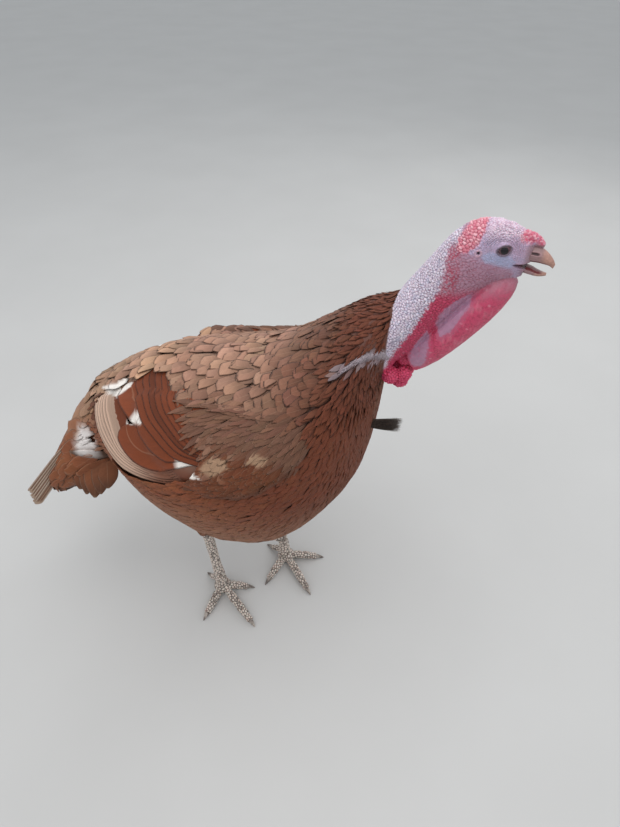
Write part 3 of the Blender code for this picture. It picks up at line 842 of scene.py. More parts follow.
def bead_neck(spots, rng):
    """Lift, tone and wetness of the bare head and neck, which are covered in papillae."""
    x, z = spots[:, 0], spots[:, 2]
    face = ramp(z, *FACE_STARTS) * ramp(x, 0.314, 0.326)
    patch = within(spots, PATCH)
    on_dewlap = 1 - ramp(gaps_to(node_tree("dewlap"), spots), 0.7 * MM, 2.2 * MM)
    spacing = (3.1 - 1.2 * face + 0.3 * patch + 0.4 * on_dewlap) * MM * (1 + 0.3 * mottle(spots, 6 * MM, 7))
    drawn_out = spots + NECK_RUN * (spots @ NECK_RUN)[:, None] * BEADS_DRAWN_OUT
    seeds = scattered(drawn_out, spacing, rng)
    first, second, which = two_nearest(drawn_out[seeds], drawn_out)
    beads = ramp(second - first, 0.0, 1.4 * MM)
    bead_tone = rng.random(len(seeds))[which]
    height = 0.75 + 0.35 * patch - 0.45 * face - 0.70 * on_dewlap
    height += 0.55 * ramp(z, 0.714, 0.724) * face
    height = np.maximum(height + 0.6 * (1 - ramp(z, *LOBES_END)), 0.06)
    swell = np.sqrt(np.clip(1 - (first / np.maximum(spacing * 0.75, 1e-6)) ** 2, 0, 1))
    lift = (beads * 0.5 + swell * 0.8 - 0.5) * height * (0.6 + 1.1 * bead_tone) * MM
    return lift, paint_bare_skin(spots, beads, bead_tone, on_dewlap), 0.45 + 0.55 * on_dewlap


def scale_legs(spots, rng):
    """Lift and tone of the legs' horny plates, smaller on the toes."""
    seeds = scattered(spots, np.where(spots[:, 2] > 0.02, 4.6, 4.0) * MM, rng)
    first, second, which = two_nearest(spots[seeds], spots)
    plate = ramp(second - first, 0.3 * MM, 1.7 * MM)
    shade = rng.random(len(seeds))[which]
    scales = mix(SCALE_PALE, SCALE_DARK, ramp(shade, 0.60, 0.95) * 0.7)
    return (plate * (0.6 + 0.6 * shade) - 0.8) * 1.5 * MM, mix(SCALE_GROOVE, scales, plate)


def skin_shell():
    """The one closed skin, before its relief."""
    balls = [(centre, radius + LID_THICKNESS) for centre, radius, *_ in EYES]
    balls.append((LOBE_GAP, 10 * MM))
    head = shell_round("skin", BARE, *HEAD_SHELL, balls, reach_down)
    legs = shell_round("legs_skin", LEGS, *LEGS_SHELL)
    return united(head, (make_body_skin(), legs))


def make_skin():
    rng = np.random.default_rng(SKIN_SEED)
    skin = skin_shell()
    mesh = skin.data
    normals = normals_of(mesh)
    points = slim_nape(points_of(mesh))
    x, z = points[:, 0], points[:, 2]
    # Under the coat the skin takes the plumage's tone darkened to 0.75: painted shade, seen through gaps
    # between the feathers.
    tone = plumage_tone(points, normals, np.where(x < -0.185, "tail_coverts", "trunk")) * 0.75
    lift, relief, wet = np.zeros((3, len(points)))

    bare = ramp(x - bare_edge(z), -1 * MM, 1 * MM) * ramp(z, 0.495, 0.505)
    on_neck = np.nonzero(bare > 0)[0]
    lift[on_neck], bare_tone, wet[on_neck] = bead_neck(points[on_neck], rng)
    tone[on_neck] = mix(tone[on_neck], bare_tone, bare[on_neck])
    relief[on_neck] = bare[on_neck]

    leg = 1 - ramp(z, tarsus_top - 0.012, tarsus_top + 0.004)
    on_leg = np.nonzero(leg > 0)[0]
    leg_lift, leg_tone = scale_legs(points[on_leg], rng)
    lift[on_leg] = leg_lift * leg[on_leg]
    tone[on_leg] = mix(tone[on_leg], leg_tone, ramp(leg[on_leg], 0.3, 0.6))
    relief[on_leg] = 0.6

    above_eye = z - EYE[2]
    points, tone = carve_ears(points + normals * lift[:, None], normals, tone)
    points, tone = shape_muzzle(points, tone)
    points, tone = shape_lids(points, tone)
    soles = points[:, 2] < 0.8 * MM
    points[:, 2] = np.where(soles, 0.0, np.minimum(points[:, 2], cad_box[1][2] - 0.1 * MM))
    move_points(mesh, points)
    add_tone(mesh, tone)
    to_eye = np.hypot(points[:, 0] - EYE[0], points[:, 2] - EYE[2])
    folds = (1 - ramp(to_eye, 0.017, 0.024)) * ramp(to_eye, 0.008, 0.010)
    folds *= 0.35 + 0.65 * ramp(above_eye, -0.006, 0.006)
    add_vector(mesh, "finish", np.column_stack((relief, wet, to_eye)))
    add_values(mesh, "folded", "FLOAT", "value", folds)
    return new_look(skin, skin_material())


def carve_ears(points, normals, tone):
    flat = np.hypot(points[:, 0] - EAR[0], points[:, 2] - EAR[1])
    on_side = np.abs(points[:, 1]) > 0.012
    hole = (1 - ramp(flat, 0.8 * MM, 1.9 * MM)) * on_side
    rim = ridge(flat, 3.0 * MM, 0.9 * MM) * on_side
    points = points - normals * (hole * 2.6 * MM)[:, None] + normals * (rim * 0.7 * MM)[:, None]
    # The ear hole is painted dark: painted shade in the recess.
    return points, mix(mix(tone, SPECK_PINK * 0.75, rim * 0.6), RECESS_SHADE, hole)


def shape_muzzle(points, tone):
    """The mouth's corners, and the narrow front of the face where the bill comes out of it."""
    x, y, z = points.T  # views, which follow each change to the points
    line = np.interp(x, *MOUTH_LINE)
    open_half = np.interp(x, *MOUTH_OPEN) * MM
    inside = (1 - ramp(np.abs(z - line), open_half * 0.7, open_half * 1.25)) * ramp(x, 0.3528, 0.3545)
    in_front = ramp(x, *FACE_FRONT) * ramp(BILL_TOP - z, 0.0, 2 * MM)
    y *= 1 - 0.36 * in_front
    y *= 1 - 0.60 * inside
    below = np.clip(line - open_half - z, 0, 1)
    raised = below * 0.70 * ramp(x, 0.355, 0.372) * ramp(z, *JAW_SPAN)
    z[:] = z + (0.6985 - z) * 0.10 * in_front + raised
    x[:] = x - inside * ramp(x, 0.360, 0.3705) * 8 * MM - ramp(x, 0.3685, 0.3705) * 0.8 * MM
    x -= ramp(JAW_FOOT - z, 0.0, 5 * MM) * ramp(x, *FACE_FRONT) * 4 * MM
    lips = ridge(np.abs(z - line) - open_half, 1.0 * MM, 0.9 * MM) * ramp(x, 0.351, 0.355)
    y += np.sign(y) * lips * 0.35 * MM
    tone = mix(tone, JAW_MAUVE * 0.8, ramp(below, 0, 2 * MM) * ramp(x, 0.356, 0.364) * 0.5)
    tone = mix(tone, HORN_BASE, ramp(x, 0.3590, 0.3670) * ramp(BILL_TOP - z, 0.0, 2 * MM) * 0.75)
    tone = mix(tone, JAW_MAUVE * 0.9, lips * 0.5)
    return points, mix(tone, MOUTH_RED, ramp(inside, 0.2, 0.6))


# ---------------------------------------------------------------- eyes, bill, claws, beard


EYE_MESH = (40, 48)  # rings from front to back, and points in each


def make_eye(side, centre, radius, gaze, long_axis):
    rows, columns = EYE_MESH
    polar = np.linspace(0, math.pi, rows)[1:-1]
    turn = np.arange(columns) * 2 * math.pi / columns
    upward = np.cross(gaze, long_axis)
    bulge = 1 + 0.02 * np.exp(-((polar / 0.5) ** 2))
    across = np.cos(turn)[:, None] * long_axis + np.sin(turn)[:, None] * upward
    points = [centre + gaze * radius * 1.02]
    rings = [(0.0, 0.0, 0.0)]
    for angle, swell in zip(polar, bulge):
        ring = centre + radius * swell * (math.cos(angle) * gaze + math.sin(angle) * across)
        points.extend(ring)
        rings.extend((angle / (math.pi / 2), math.cos(t), math.sin(t)) for t in turn)
    points.append(centre - gaze * radius)
    rings.append((2.0, 0.0, 0.0))
    faces = []
    last = len(points) - 1
    for i in range(columns):
        j = (i + 1) % columns
        faces.append((0, 1 + i, 1 + j))
        faces.append((last, last - columns + j, last - columns + i))
        for row in range(rows - 3):
            start = 1 + row * columns
            faces.append((start + i, start + columns + i, start + columns + j, start + j))
    mesh = mesh_from("eyeball_" + side, points, faces)
    body = bmesh.new()
    body.from_mesh(mesh)
    bmesh.ops.recalc_face_normals(body, faces=body.faces)
    body.to_mesh(mesh)
    body.free()
    add_vector(mesh, "ring", np.array(rings))
    return new_look(linked("eyeball_" + side, mesh), eye_look)


def make_bill(node):
    """The horn of one half of the bill, run back into the face, with nostrils in the upper one."""
    piece = shell_round(node + "_horn", (node,), *BILL_SHELL)
    points, normals = points_of(piece.data), normals_of(piece.data)
    low, high = box(node)
    forward = (points[:, 0] - low[0]) / (high[0] - low[0])
    tone = mix(HORN_BASE, HORN, ramp(forward, 0.15, 0.6))
    tone *= 1 + 0.12 * mottle(points * np.array((0.4, 1, 1)), 1.6 * MM, 4)[:, None]
    inner = normals[:, 2] > 0.5
    if node == "bill_upper":
        inner = normals[:, 2] < -0.45
        across, rise = (points[:, (0, 2)] - np.array((low[0], high[2])) - NOSTRIL_PLACE).T / NOSTRIL[:, None]
        off = np.hypot(across, rise + across * 0.3)
        on_side = np.abs(normals[:, 1]) > 0.25
        hole = (1 - ramp(off, 0.45, 1.05)) * on_side
        flap = ridge(off, 1.25, 0.35) * on_side
        points = points - normals * (hole * 1.5 * MM)[:, None] + normals * (flap * 0.3 * MM)[:, None]
        cere = (1 - ramp(forward, 0.30, 0.50)) * ramp(normals[:, 2], -0.5, 0.2)
        tone = mix(tone, mix(HORN_BASE, HORN_DARK, 0.35), cere * 0.7)
        # The nostril hole is painted dark: painted shade.
        tone = mix(tone, RECESS_SHADE, hole * 0.9)
        tone = mix(tone, SPECK_PINK * 0.6, flap * 0.25)
    base = 1 - ramp(forward, 0.0, 0.22)
    points[:, 0] -= base * 4.5 * MM
    points[:, 1] *= 1 + 0.05 * base
    tone = mix(tone, MOUTH_RED * 1.3, inner * (1 - ramp(forward, 0.55, 0.9)))
    move_points(piece.data, points)
    add_tone(piece.data, tone)
    return new_look(piece, bill_look)


def bowed(start, middle, end):
    """Linear and square parts of curves that leave start, pass the middle halfway, and reach the end."""
    return -3 * start + 4 * middle - end, 2 * start - 4 * middle + 2 * end


def bristles(name, roots, tips, radius, sag, rng, material):
    """Thin tapered three-sided hairs from roots to tips, joined in one mesh."""
    steps = np.linspace(0, 1, 5)
    count, each = len(roots), len(steps) * 3
    linear_part, square_part = bowed(roots, (roots + tips) / 2 + sag, tips)
    step = steps[:, None]
    line = roots[:, None] + linear_part[:, None] * step + square_part[:, None] * step**2
    run = unit(tips - roots)
    side = unit(np.cross(run, np.array((0.13, 0.31, 0.94))))
    up = np.cross(run, side)
    turn = np.arange(3) * 2 * math.pi / 3
    ring = np.cos(turn)[None, :, None] * side[:, None] + np.sin(turn)[None, :, None] * up[:, None]
    width = radius * (1 - 0.85 * steps)
    points = line[:, :, None] + ring[:, None] * width[None, :, None, None]
    index = np.arange(each).reshape(len(steps), 3)
    walls = []
    for row, following in zip(index, index[1:]):
        for k in range(3):
            walls.append((row[k], row[(k + 1) % 3], following[(k + 1) % 3], following[k]))
    caps = (index[0][::-1], index[-1])
    faces = joined_faces(walls, count, each) + joined_faces(caps, count, each)
    mesh = mesh_from(name, points.reshape(-1, 3), faces)
    along = np.tile(np.repeat(steps, 3), count)
    own = np.repeat(rng.random(count), each)
    add_vector(mesh, "vane", np.column_stack((along, np.zeros(len(along)), own)))
    spread = np.column_stack((along - 0.5, np.tile((-0.5, 0.0, 0.5), len(steps) * count))) * BAKE_PATCH
    add_bake_map(mesh, np.repeat(unwrapped(roots), each, axis=0) + spread)
    return new_look(linked(name, mesh), material)


def joined_faces(faces, count, each):
    """The faces of many like pieces in one mesh, where each piece has the same number of points."""
    faces = np.array(faces)
    starts = (np.arange(count) * each)[:, None, None]
    return (faces[None] + starts).reshape(-1, faces.shape[1]).tolist()


def add_bake_map(mesh, places):
    corners = np.empty(len(mesh.loops), np.int32)
    mesh.loops.foreach_get("vertex_index", corners)
    layer = mesh.uv_layers.new(name="OFBake")
    layer.uv.foreach_set("vector", places[corners].astype(np.float32).ravel())


BEARD_BRISTLES = 420
BEARD_ROOT_SPREAD, BEARD_TIP_SPREAD = 0.0036, 0.0052
BRISTLE_RADIUS, DOWN_RADIUS = 0.00045, 0.00032
DOWN_BRISTLES = 520  # on each side


def make_beard():
    rng = np.random.default_rng(BEARD_SEED)
    low, high = box("beard")
    middle = (low + high) / 2
    count = BEARD_BRISTLES
    spread = rng.normal(0, 1, (count, 2))
    spread /= np.maximum(1, np.linalg.norm(spread, axis=1, keepdims=True) / 1.5)
    root = np.array((low[0] - 0.008, middle[1], low[2] + 0.0075))
    roots = root + np.column_stack((np.zeros(count), spread * BEARD_ROOT_SPREAD))
    reach = rng.uniform(0.78, 0.985, count)
    end = np.array((high[0], middle[1], high[2] - 0.0065))
    tips = root + (end - root) * reach[:, None]
    tips += np.column_stack((np.zeros(count), spread * BEARD_TIP_SPREAD)) + rng.normal(0, 0.0010, (count, 3))
    tips[:, 0] = np.minimum(tips[:, 0], high[0])
    sag = np.array((0, 0, -0.001))
    return bristles("beard_bristles", roots, tips, BRISTLE_RADIUS, sag, rng, beard_look)


def make_down_streak(side, sign):
    """The thin line of pale down from the neck's foot back over the shoulder."""
    rng = np.random.default_rng(DOWN_SEED)
    count = DOWN_BRISTLES
    line = curve_through(DOWN_STREAK, rng.random(count))
    line[:, 1] += rng.normal(0, 1.1, count) * MM
    roots, turns = side_surface(line, sign, SIDE_ON)
    flow = lie_of_coat(roots, turns)
    roots = roots - turns * 1.5 * MM
    reach = rng.uniform(5, 9, count)[:, None] * MM
    tips = roots + flow * reach + turns * rng.uniform(1.0, 2.2, (count, 1)) * MM
    tips += np.column_stack((np.zeros((count, 2)), rng.normal(0, 1.1, count) * MM))
    return bristles("down_streak_" + side, roots, tips, DOWN_RADIUS, turns * 0.4 * MM, rng, down_look)


# ---------------------------------------------------------------- feathers


# A place on the bird, then the way the coat lies there. The side ones are mirrored.
MIDDLE_GUIDES = (
    (0.235, 0, 0.600, -0.55, 0, -0.83),
    (0.215, 0, 0.640, -0.75, 0, -0.65),
    (0.235, 0, 0.470, -0.15, 0, -0.99),
    (0.190, 0, 0.330, -0.55, 0, -0.80),
    (0.100, 0, 0.220, -0.92, 0, -0.35),
    (0.000, 0, 0.160, -1.00, 0, 0.05),
    (-0.120, 0, 0.200, -0.97, 0, 0.22),
    (-0.215, 0, 0.260, -0.95, 0, 0.00),
    (0.180, 0, 0.570, -0.85, 0, -0.50),
    (0.120, 0, 0.570, -0.93, 0, -0.30),
    (0.000, 0, 0.510, -1.00, 0, -0.12),
    (-0.120, 0, 0.470, -0.95, 0, -0.32),
    (-0.220, 0, 0.400, -0.80, -0.05, -0.62),
    (-0.270, -0.04, 0.290, -0.60, -0.22, -0.77),
    (-0.320, -0.08, 0.200, -0.58, -0.22, -0.78),
)
SIDE_GUIDES = (
    (0.120, 0.14, 0.400, -0.85, 0, -0.52),
    (0.000, 0.15, 0.330, -0.98, 0, -0.20),
    (0.060, 0.12, 0.475, -0.50, 0.10, -0.86),
    (0.110, 0.13, 0.480, -0.62, 0, -0.78),
    (-0.020, 0.05, 0.490, -0.88, 0.40, -0.26),
    (-0.090, 0.03, 0.470, -0.80, 0.52, -0.30),
    (-0.170, 0.06, 0.420, -0.80, 0.15, -0.58),
)
MIRRORED = np.array((1, -1, 1, 1, -1, 1))
GUIDES = np.array(
    MIDDLE_GUIDES + tuple(turned for guide in SIDE_GUIDES for turned in (guide, tuple(guide * MIRRORED)))
)


def lie_of_coat(points, normals):
    """The way the feathers point, along the surface."""
    gaps = np.linalg.norm(points[:, None] - GUIDES[None, :, :3], axis=2)
    weights = 1 / (gaps**3 + 1e-5)
    flow = (weights[..., None] * GUIDES[None, :, 3:]).sum(axis=1) / weights.sum(axis=1)[:, None]
    flow = flow - normals * (flow * normals).sum(axis=1)[:, None]
    return unit(flow)


# Where the rows along a vane and the columns across it lie.
SMALL = (np.array((0.0, 0.35, 0.65, 0.85, 1.0)), np.array((-1.0, -0.5, 0.0, 0.5, 1.0)))
LARGE = (
    np.array((0.0, 0.20, 0.40, 0.58, 0.74, 0.87, 0.955, 1.0)),
    np.array((-1.0, -0.8, -0.42, 0.0, 0.42, 0.8, 1.0)),
)


def vane_index(rows, columns):
    """The quads of one closed vane: an upper sheet, and an under sheet that shares its rim."""
    top = np.arange(rows * columns).reshape(rows, columns)
    under = top.copy()
    under[1:-1, 1:-1] = rows * columns + np.arange((rows - 2) * (columns - 2)).reshape(rows - 2, columns - 2)

    def quads(grid, order):
        corners = (grid[:-1, :-1], grid[:-1, 1:], grid[1:, 1:], grid[1:, :-1])
        return np.stack([corners[k] for k in order], axis=-1).reshape(-1, 4)

    return np.concatenate((quads(top, (0, 1, 2, 3)), quads(under, (3, 2, 1, 0))))


def closed_vanes(name, top, up, thickness, along, across, own, tones, roots, patch, material):
    """Joins N vanes in one mesh. Top holds N x rows x columns places, and up the way out of each."""
    count, rows, columns = top.shape[:3]
    full = 1 - across[None, None, :] ** 2
    under = top - up * (thickness * full)[..., None]
    points = np.concatenate((top.reshape(count, -1, 3), under[:, 1:-1, 1:-1].reshape(count, -1, 3)), axis=1)
    faces = joined_faces(vane_index(rows, columns), count, points.shape[1])
    mesh = mesh_from(name, points.reshape(-1, 3), faces)

    def both(values):
        values = np.broadcast_to(values, (count, rows, columns))
        return np.concatenate((values.reshape(count, -1), values[:, 1:-1, 1:-1].reshape(count, -1)), axis=1)

    run, wide, number = both(along[None, :, None]), both(across[None, None, :]), both(own[:, None, None])
    add_vector(mesh, "vane", np.stack((run, wide, number), axis=-1).reshape(-1, 3))
    shown = np.stack([both(tones[..., k]) for k in range(3)], axis=-1)
    add_tone(mesh, shown.reshape(-1, 3))
    spread = np.stack((run - 0.5, wide / 2), axis=-1) * patch
    add_bake_map(mesh, (unwrapped(roots)[:, None] + spread).reshape(-1, 2))
    return new_look(linked(name, mesh), material)


# The line that the skin's unwrap runs along, in side view.
SPINE = np.array(
    (
        (0.33, 0.70), (0.27, 0.64), (0.22, 0.57), (0.15, 0.46),
        (0.0, 0.34), (-0.17, 0.33), (-0.29, 0.23), (-0.40, 0.12),
    )
)


def unwrapped(points):
    """Where places of the skin lie on its unwrap: how far along the bird's spine, and how far round it."""
    lengths = np.concatenate(((0.0,), np.cumsum(np.linalg.norm(np.diff(SPINE, axis=0), axis=1))))
    best = np.full(len(points), np.inf)
    along, turn = np.zeros(len(points)), np.zeros(len(points))
    for start, end, before in zip(SPINE[:-1], SPINE[1:], lengths):
        run = end - start
        share = np.clip((points[:, (0, 2)] - start) @ run / (run @ run), 0, 1)
        away = points[:, (0, 2)] - start - share[:, None] * run
        gap = np.linalg.norm(away, axis=1)
        cross = np.array((-run[1], run[0])) / np.linalg.norm(run)
        closer = gap < best
        best = np.where(closer, gap, best)
        along = np.where(closer, before + share * np.linalg.norm(run), along)
        turn = np.where(closer, np.arctan2(points[:, 1], away @ cross), turn)
    return np.column_stack((0.02 + 0.96 * along / lengths[-1], 0.02 + 0.96 * (turn / (2 * math.pi) + 0.5)))


def feather_lines(coat, look, rng):
    """Root, middle and tip of each feather, its side axis and the way up from its vane."""
    count = len(coat["length"])
    tips = nearest_on(envelope_tree, coat["roots"] + coat["flow"] * coat["length"][:, None])[0]
    middles, up = nearest_on(envelope_tree, (coat["roots"] + tips) / 2)
    up = unit(up + 0.6 * coat["normals"])
    rise = look["lift"] * rng.uniform(0.2, 1.8, count) * MM
    root = coat["roots"] - up * (look["depth"] * MM)
    middle = middles - up * (0.45 * look["depth"] * MM + 0.25 * rise)[:, None]
    tip = tips - up * (TIP_DEPTH - rise)[:, None]
    run = unit(tip - root)
    side = unit(np.cross(run, up))
    up = np.cross(side, run)
    roll = rng.normal(0, look["roll"], count)
    side = side * np.cos(roll)[:, None] + up * np.sin(roll)[:, None]
    return root, middle, tip, side, np.cross(side, run)


def lay_feathers(name, coat, look, rng):
    """Body feathers over the envelope: each runs from a root under the surface to a tip just inside it."""
    rows, columns = look["grid"]
    row, column = rows[None, :, None], columns[None, None, :]
    square, length = look["square"], coat["length"][:, None, None]
    count = len(length)
    root, middle, tip, side, up = feather_lines(coat, look, rng)
    linear_part, square_part = bowed(root, middle, tip)
    bow = rng.uniform(0.10, 0.20, count) * (1.25 - square)
    jag = rng.normal(0, look["fray"], (count, len(rows), len(columns))) * row**6
    place = row - bow[:, None, None] * column**2 * row**3 + jag
    shape = np.minimum(1.0, 0.30 + 1.5 * rows) * (1 - (1 - square) * ramp(rows, 0.5, 1.0) ** 1.3)
    half = (coat["width"][:, None] / 2 * shape)[:, :, None]
    over = column * half + rng.normal(0, 0.05, count)[:, None, None] * length * row**2
    curl = rng.normal(0.0, 0.12, count)[:, None, None] * MM * row**4
    rising = curl - look["droop"] * column**2 * half
    top = root[:, None, None] + linear_part[:, None, None] * place[..., None]
    top += square_part[:, None, None] * place[..., None] ** 2
    top += side[:, None, None] * over[..., None] + up[:, None, None] * rising[..., None]
    tones = along_tone(coat, top, look, rng)
    return closed_vanes(
        name, top, up[:, None, None], SMALL_VANE, rows, columns, rng.random(count), tones, coat["roots"],
        BAKE_PATCH, look["material"],
    )


def random_places(corners, rng):
    """Even random places on triangles, and the way out of each."""
    cross = np.cross(corners[:, 1] - corners[:, 0], corners[:, 2] - corners[:, 0])
    area = np.linalg.norm(cross, axis=1) / 2
    count = int(area.sum() * CANDIDATES_PER_SQUARE_METRE)
    picked = rng.choice(len(corners), count, p=area / area.sum())
    u, v = rng.random(count), rng.random(count)
    flip = u + v > 1
    u, v = np.where(flip, 1 - u, u), np.where(flip, 1 - v, v)
    c = corners[picked]
    places = c[:, 0] + u[:, None] * (c[:, 1] - c[:, 0]) + v[:, None] * (c[:, 2] - c[:, 0])
    return places, unit(cross[picked])


def candidates(rng):
    """Even random places on the plumage's outer side, not hidden and not under the flight feathers."""
    everything = hiding_tree()
    found, owner = [], []
    for node in COATED:
        points, faces = solid_arrays(node)
        places, outward = random_places(points[faces], rng)
        if node == "neck_bare":
            low_end = places[:, 0] < bare_edge(places[:, 2]) + 1.5 * MM
            places, outward = places[low_end], outward[low_end]
        for place, normal in zip(places, outward):
            reach = HIDDEN_WITHIN if place[0] > REAR else HIDDEN_WITHIN_AT_REAR
            if everything.ray_cast(Vector(place + normal * 0.8 * MM), Vector(normal), reach)[0]:
                continue
            found.append(place)
            owner.append(node.replace("wing_flight", "wing_coverts"))
    found, owner = np.array(found), np.array(owner)
    low = np.char.startswith(owner, "wing_coverts") & (slanted(found)[:, 2] < WING_FOOT)
    owner = np.where(low, "trunk", owner)
    clear = ~under_flights(found)
    places, normals = nearest_on(envelope_tree, found[clear])
    return places, normals, owner[clear]


def under_flights(points):
    """Which places lie under the folded wing's long feathers. On the left side those reach less high."""
    hidden = within(slanted(points), FLIGHT_AREA, 0.0, 0.1 * MM) > 0.5
    for i in np.nonzero(hidden)[0]:
        sign = math.copysign(1.0, points[i, 1])
        outward = Vector((0, sign * SLANT[0], SLANT[1]))
        struck = envelope_tree.ray_cast(Vector(points[i]) + outward, -outward)
        hidden[i] = struck[3] is not None and struck[3] > 1.0 - FLIGHT_COVER
    hidden &= (points[:, 1] < 0) | (slanted(points)[:, 2] < LEFT_WING_TOP)
    return hidden


def hiding_tree():
    """All the solids that can hide a part of the coat."""
    points, faces, start = [], [], 0
    for node in COATED + ("dewlap", "caruncles", "tail_feathers") + LEGS:
        own_points, own_faces = solid_arrays(node)
        points.append(own_points)
        faces.append(own_faces + start)
        start += len(own_points)
    return tree_of(np.concatenate(points), np.concatenate(faces))


CANDIDATES_PER_SQUARE_METRE = 190000
TIP_DEPTH = 2.2 * MM  # how deep a feather's tip lies, before its lift
REAR = -0.13
FLIGHT_COVER = 0.025  # how far under the envelope a place still counts as under the long feathers
LEFT_WING_TOP = 0.305
HIDDEN_WITHIN, HIDDEN_WITHIN_AT_REAR = 0.012, 0.003  # how near another solid hides a place of the coat
WING_FOOT = 0.2  # lower than this in the slanted view, the wing's feathers are like the trunk's

# Length, width and spacing of the feathers in mm, and what some regions add to the body's
BODY_SIZE = (29.0, 10.5, 6.0)
NECK_MORE = (-7.0, -3.0, -0.8)
COLLAR_MORE = (-5.0, -1.8, -1.2)
BACK_MORE = (13.0, 14.0, 7.0)
BELLY_MORE = (6.0, 3.0, 1.2)
TAIL_SIZE = (66.0, 34.0, 16.0)
THIGH_SIZE = (20.0, 8.0, 5.6)
DOWN_STREAK = ((0.2445, 0.5700), (0.2370, 0.5765), (0.2260, 0.5810), (0.2140, 0.5780), (0.2030, 0.5690))


def upright(numbers):
    return np.array(numbers)[:, None]


def back_line(x):
    """How high the back's large feathers begin, in the slanted view."""
    return np.interp(x, (-0.02, 0.05), (0.29, 0.330))


def feather_sizes(points, normals, owner):
    """Length, width and spacing of the body feathers by where they grow."""
    x, _, z = points.T
    high = slanted(points)[:, 2]
    neck = ramp(x, 0.150, 0.215) * ramp(z, 0.46, 0.58)
    collar = ramp(x, 0.205, 0.236) * ramp(z, 0.50, 0.60)
    back = ramp(normals[:, 2], 0.20, 0.45) * (1 - ramp(x, 0.13, 0.20))
    back *= ramp(high - back_line(x), -0.006, 0.006)
    belly = 1 - ramp(z, 0.20, 0.32)
    sizes = upright(BODY_SIZE)
    for share, more in ((neck, NECK_MORE), (collar, COLLAR_MORE), (back, BACK_MORE), (belly, BELLY_MORE)):
        sizes = sizes + share * upright(more)
    coverts = np.char.startswith(owner, "wing_coverts") & (back < 0.5)
    low = 1 - ramp(high, 0.245, 0.270)
    sizes = np.where(coverts, (42.0 - 12.0 * low, 9.5 + 5.0 * low, 6.6 + 1.2 * low), sizes)
    sizes = np.where(owner == "tail_coverts", upright(TAIL_SIZE), sizes)
    sizes = np.where(np.char.startswith(owner, "thigh"), upright(THIGH_SIZE), sizes)
    return sizes * MM


# White and pale patches in the slanted view.
WING_WHITE = ((-0.0794, 0.2745), (-0.1030, 0.2480), (-0.0613, 0.2560))
RUMP_WHITE = (
    (-0.1349, 0.3109), (-0.1243, 0.3065), (-0.1237, 0.2990), (-0.1400, 0.2828),
    (-0.1767, 0.2807), (-0.1888, 0.2851), (-0.1553, 0.2952),
)
LOW_WHITE = (
    (0.0138, 0.2352), (0.0299, 0.2221), (0.0404, 0.2107),
    (0.0344, 0.2078), (0.0005, 0.2115), (0.0051, 0.2229),
)
TAIL_WHITE = ((-0.2239, 0.2180), (-0.2037, 0.1973), (-0.2135, 0.1698), (-0.2359, 0.1668), (-0.2390, 0.1881))
BEIGE_TUFT = (
    (0.0450, 0.2294), (0.0540, 0.2420), (0.0771, 0.2465),
    (0.0830, 0.2386), (0.0651, 0.2204), (0.0480, 0.2184),
)
BEIGE_TUFT_AHEAD = ((0.108, 0.252), (0.118, 0.264), (0.134, 0.262), (0.126, 0.248))


def white_patches(places, ragged):
    """How white the coat is at places in the slanted view: in the crisp patches, in the tail's soft one."""
    crisp = [within(places, outline, ragged) for outline in (WING_WHITE, RUMP_WHITE, LOW_WHITE)]
    return np.maximum.reduce(crisp), within(places, TAIL_WHITE, ragged, 7 * MM)


def plumage_tone(points, normals, owner):
    """The plumage's markings: one tone for each place."""
    x, y, z = points.T
    high = slanted(points)[:, 2]
    tone = mix(RUFOUS, DARK_BREAST, ramp(x, 0.02, 0.15))
    tone = mix(tone, NECK_BROWN, ramp(z, 0.50, 0.58) * ramp(x, 0.15, 0.2))
    # The lower body in a lighter brown: partly its own colour, partly painted bounce light on the underside.
    tone = mix(tone, BELLY_BROWN_AND_BOUNCE, 1 - ramp(z, 0.24, 0.40))
    # Upward faces get the back's paler browns, and on top the rump's pale and the shoulder's grey: partly the
    # plumage's own colours, partly painted skylight on the upper side.
    upward = ramp(normals[:, 2], 0.10, 0.60)
    back = mix(BACK_BROWN, SHOULDER_BROWN, ramp(x, 0.08, 0.18))
    tone = mix(tone, back, upward * (1 - ramp(x, 0.175, 0.215)))
    tone = mix(tone, RUMP_PALE * 1.2, ramp(-x, 0.02, 0.09) * (1 - 0.7 * ramp(-x, 0.10, 0.14)) * upward * 0.8)
    rump_side = ramp(-x, 0.125, 0.160) * ramp(high, 0.225, 0.250)
    tone = mix(tone, RUMP_PALE * 0.95, rump_side * 0.8)
    shoulder = (1 - ramp(high, 0.32, 0.37)) * ramp(x, -0.03, 0.0) * upward * (1 - ramp(x, 0.12, 0.16))
    tone = mix(tone, COVERT_GREY, shoulder * 0.6)
    coverts = np.char.startswith(owner, "wing_coverts")
    # The coverts turn grey higher up: partly their own grey-brown, partly a painted sheen.
    sheen = mix(COVERT_BROWN, COVERT_GREY, ramp(high, 0.262, 0.285))
    tone = np.where(coverts[:, None], sheen, tone)
    tail = owner == "tail_coverts"
    tone = np.where(tail[:, None], mix(TAIL_RUFOUS, RUMP_PALE, ramp(z, 0.32, 0.38) * 0.7), tone)
    # Tail coverts facing down turn dark: painted shade on their undersides, with their own darker brown.
    tone = mix(tone, UNDERTAIL_DARK_AND_SHADE, tail * ramp(-normals[:, 2], 0.35, 0.75))
    streak = off_line(points, DOWN_STREAK, 5 * MM) * (np.abs(y) > 0.02)
    tone = mix(tone, DOWN * 0.8, streak * 0.6)
    seam = (1 - ramp(np.abs(y), 0.002, 0.007)) * ramp(x, 0.17, 0.2) * (1 - ramp(z, 0.5, 0.53))
    return mix(tone, BEIGE * 0.7, seam * 0.3)


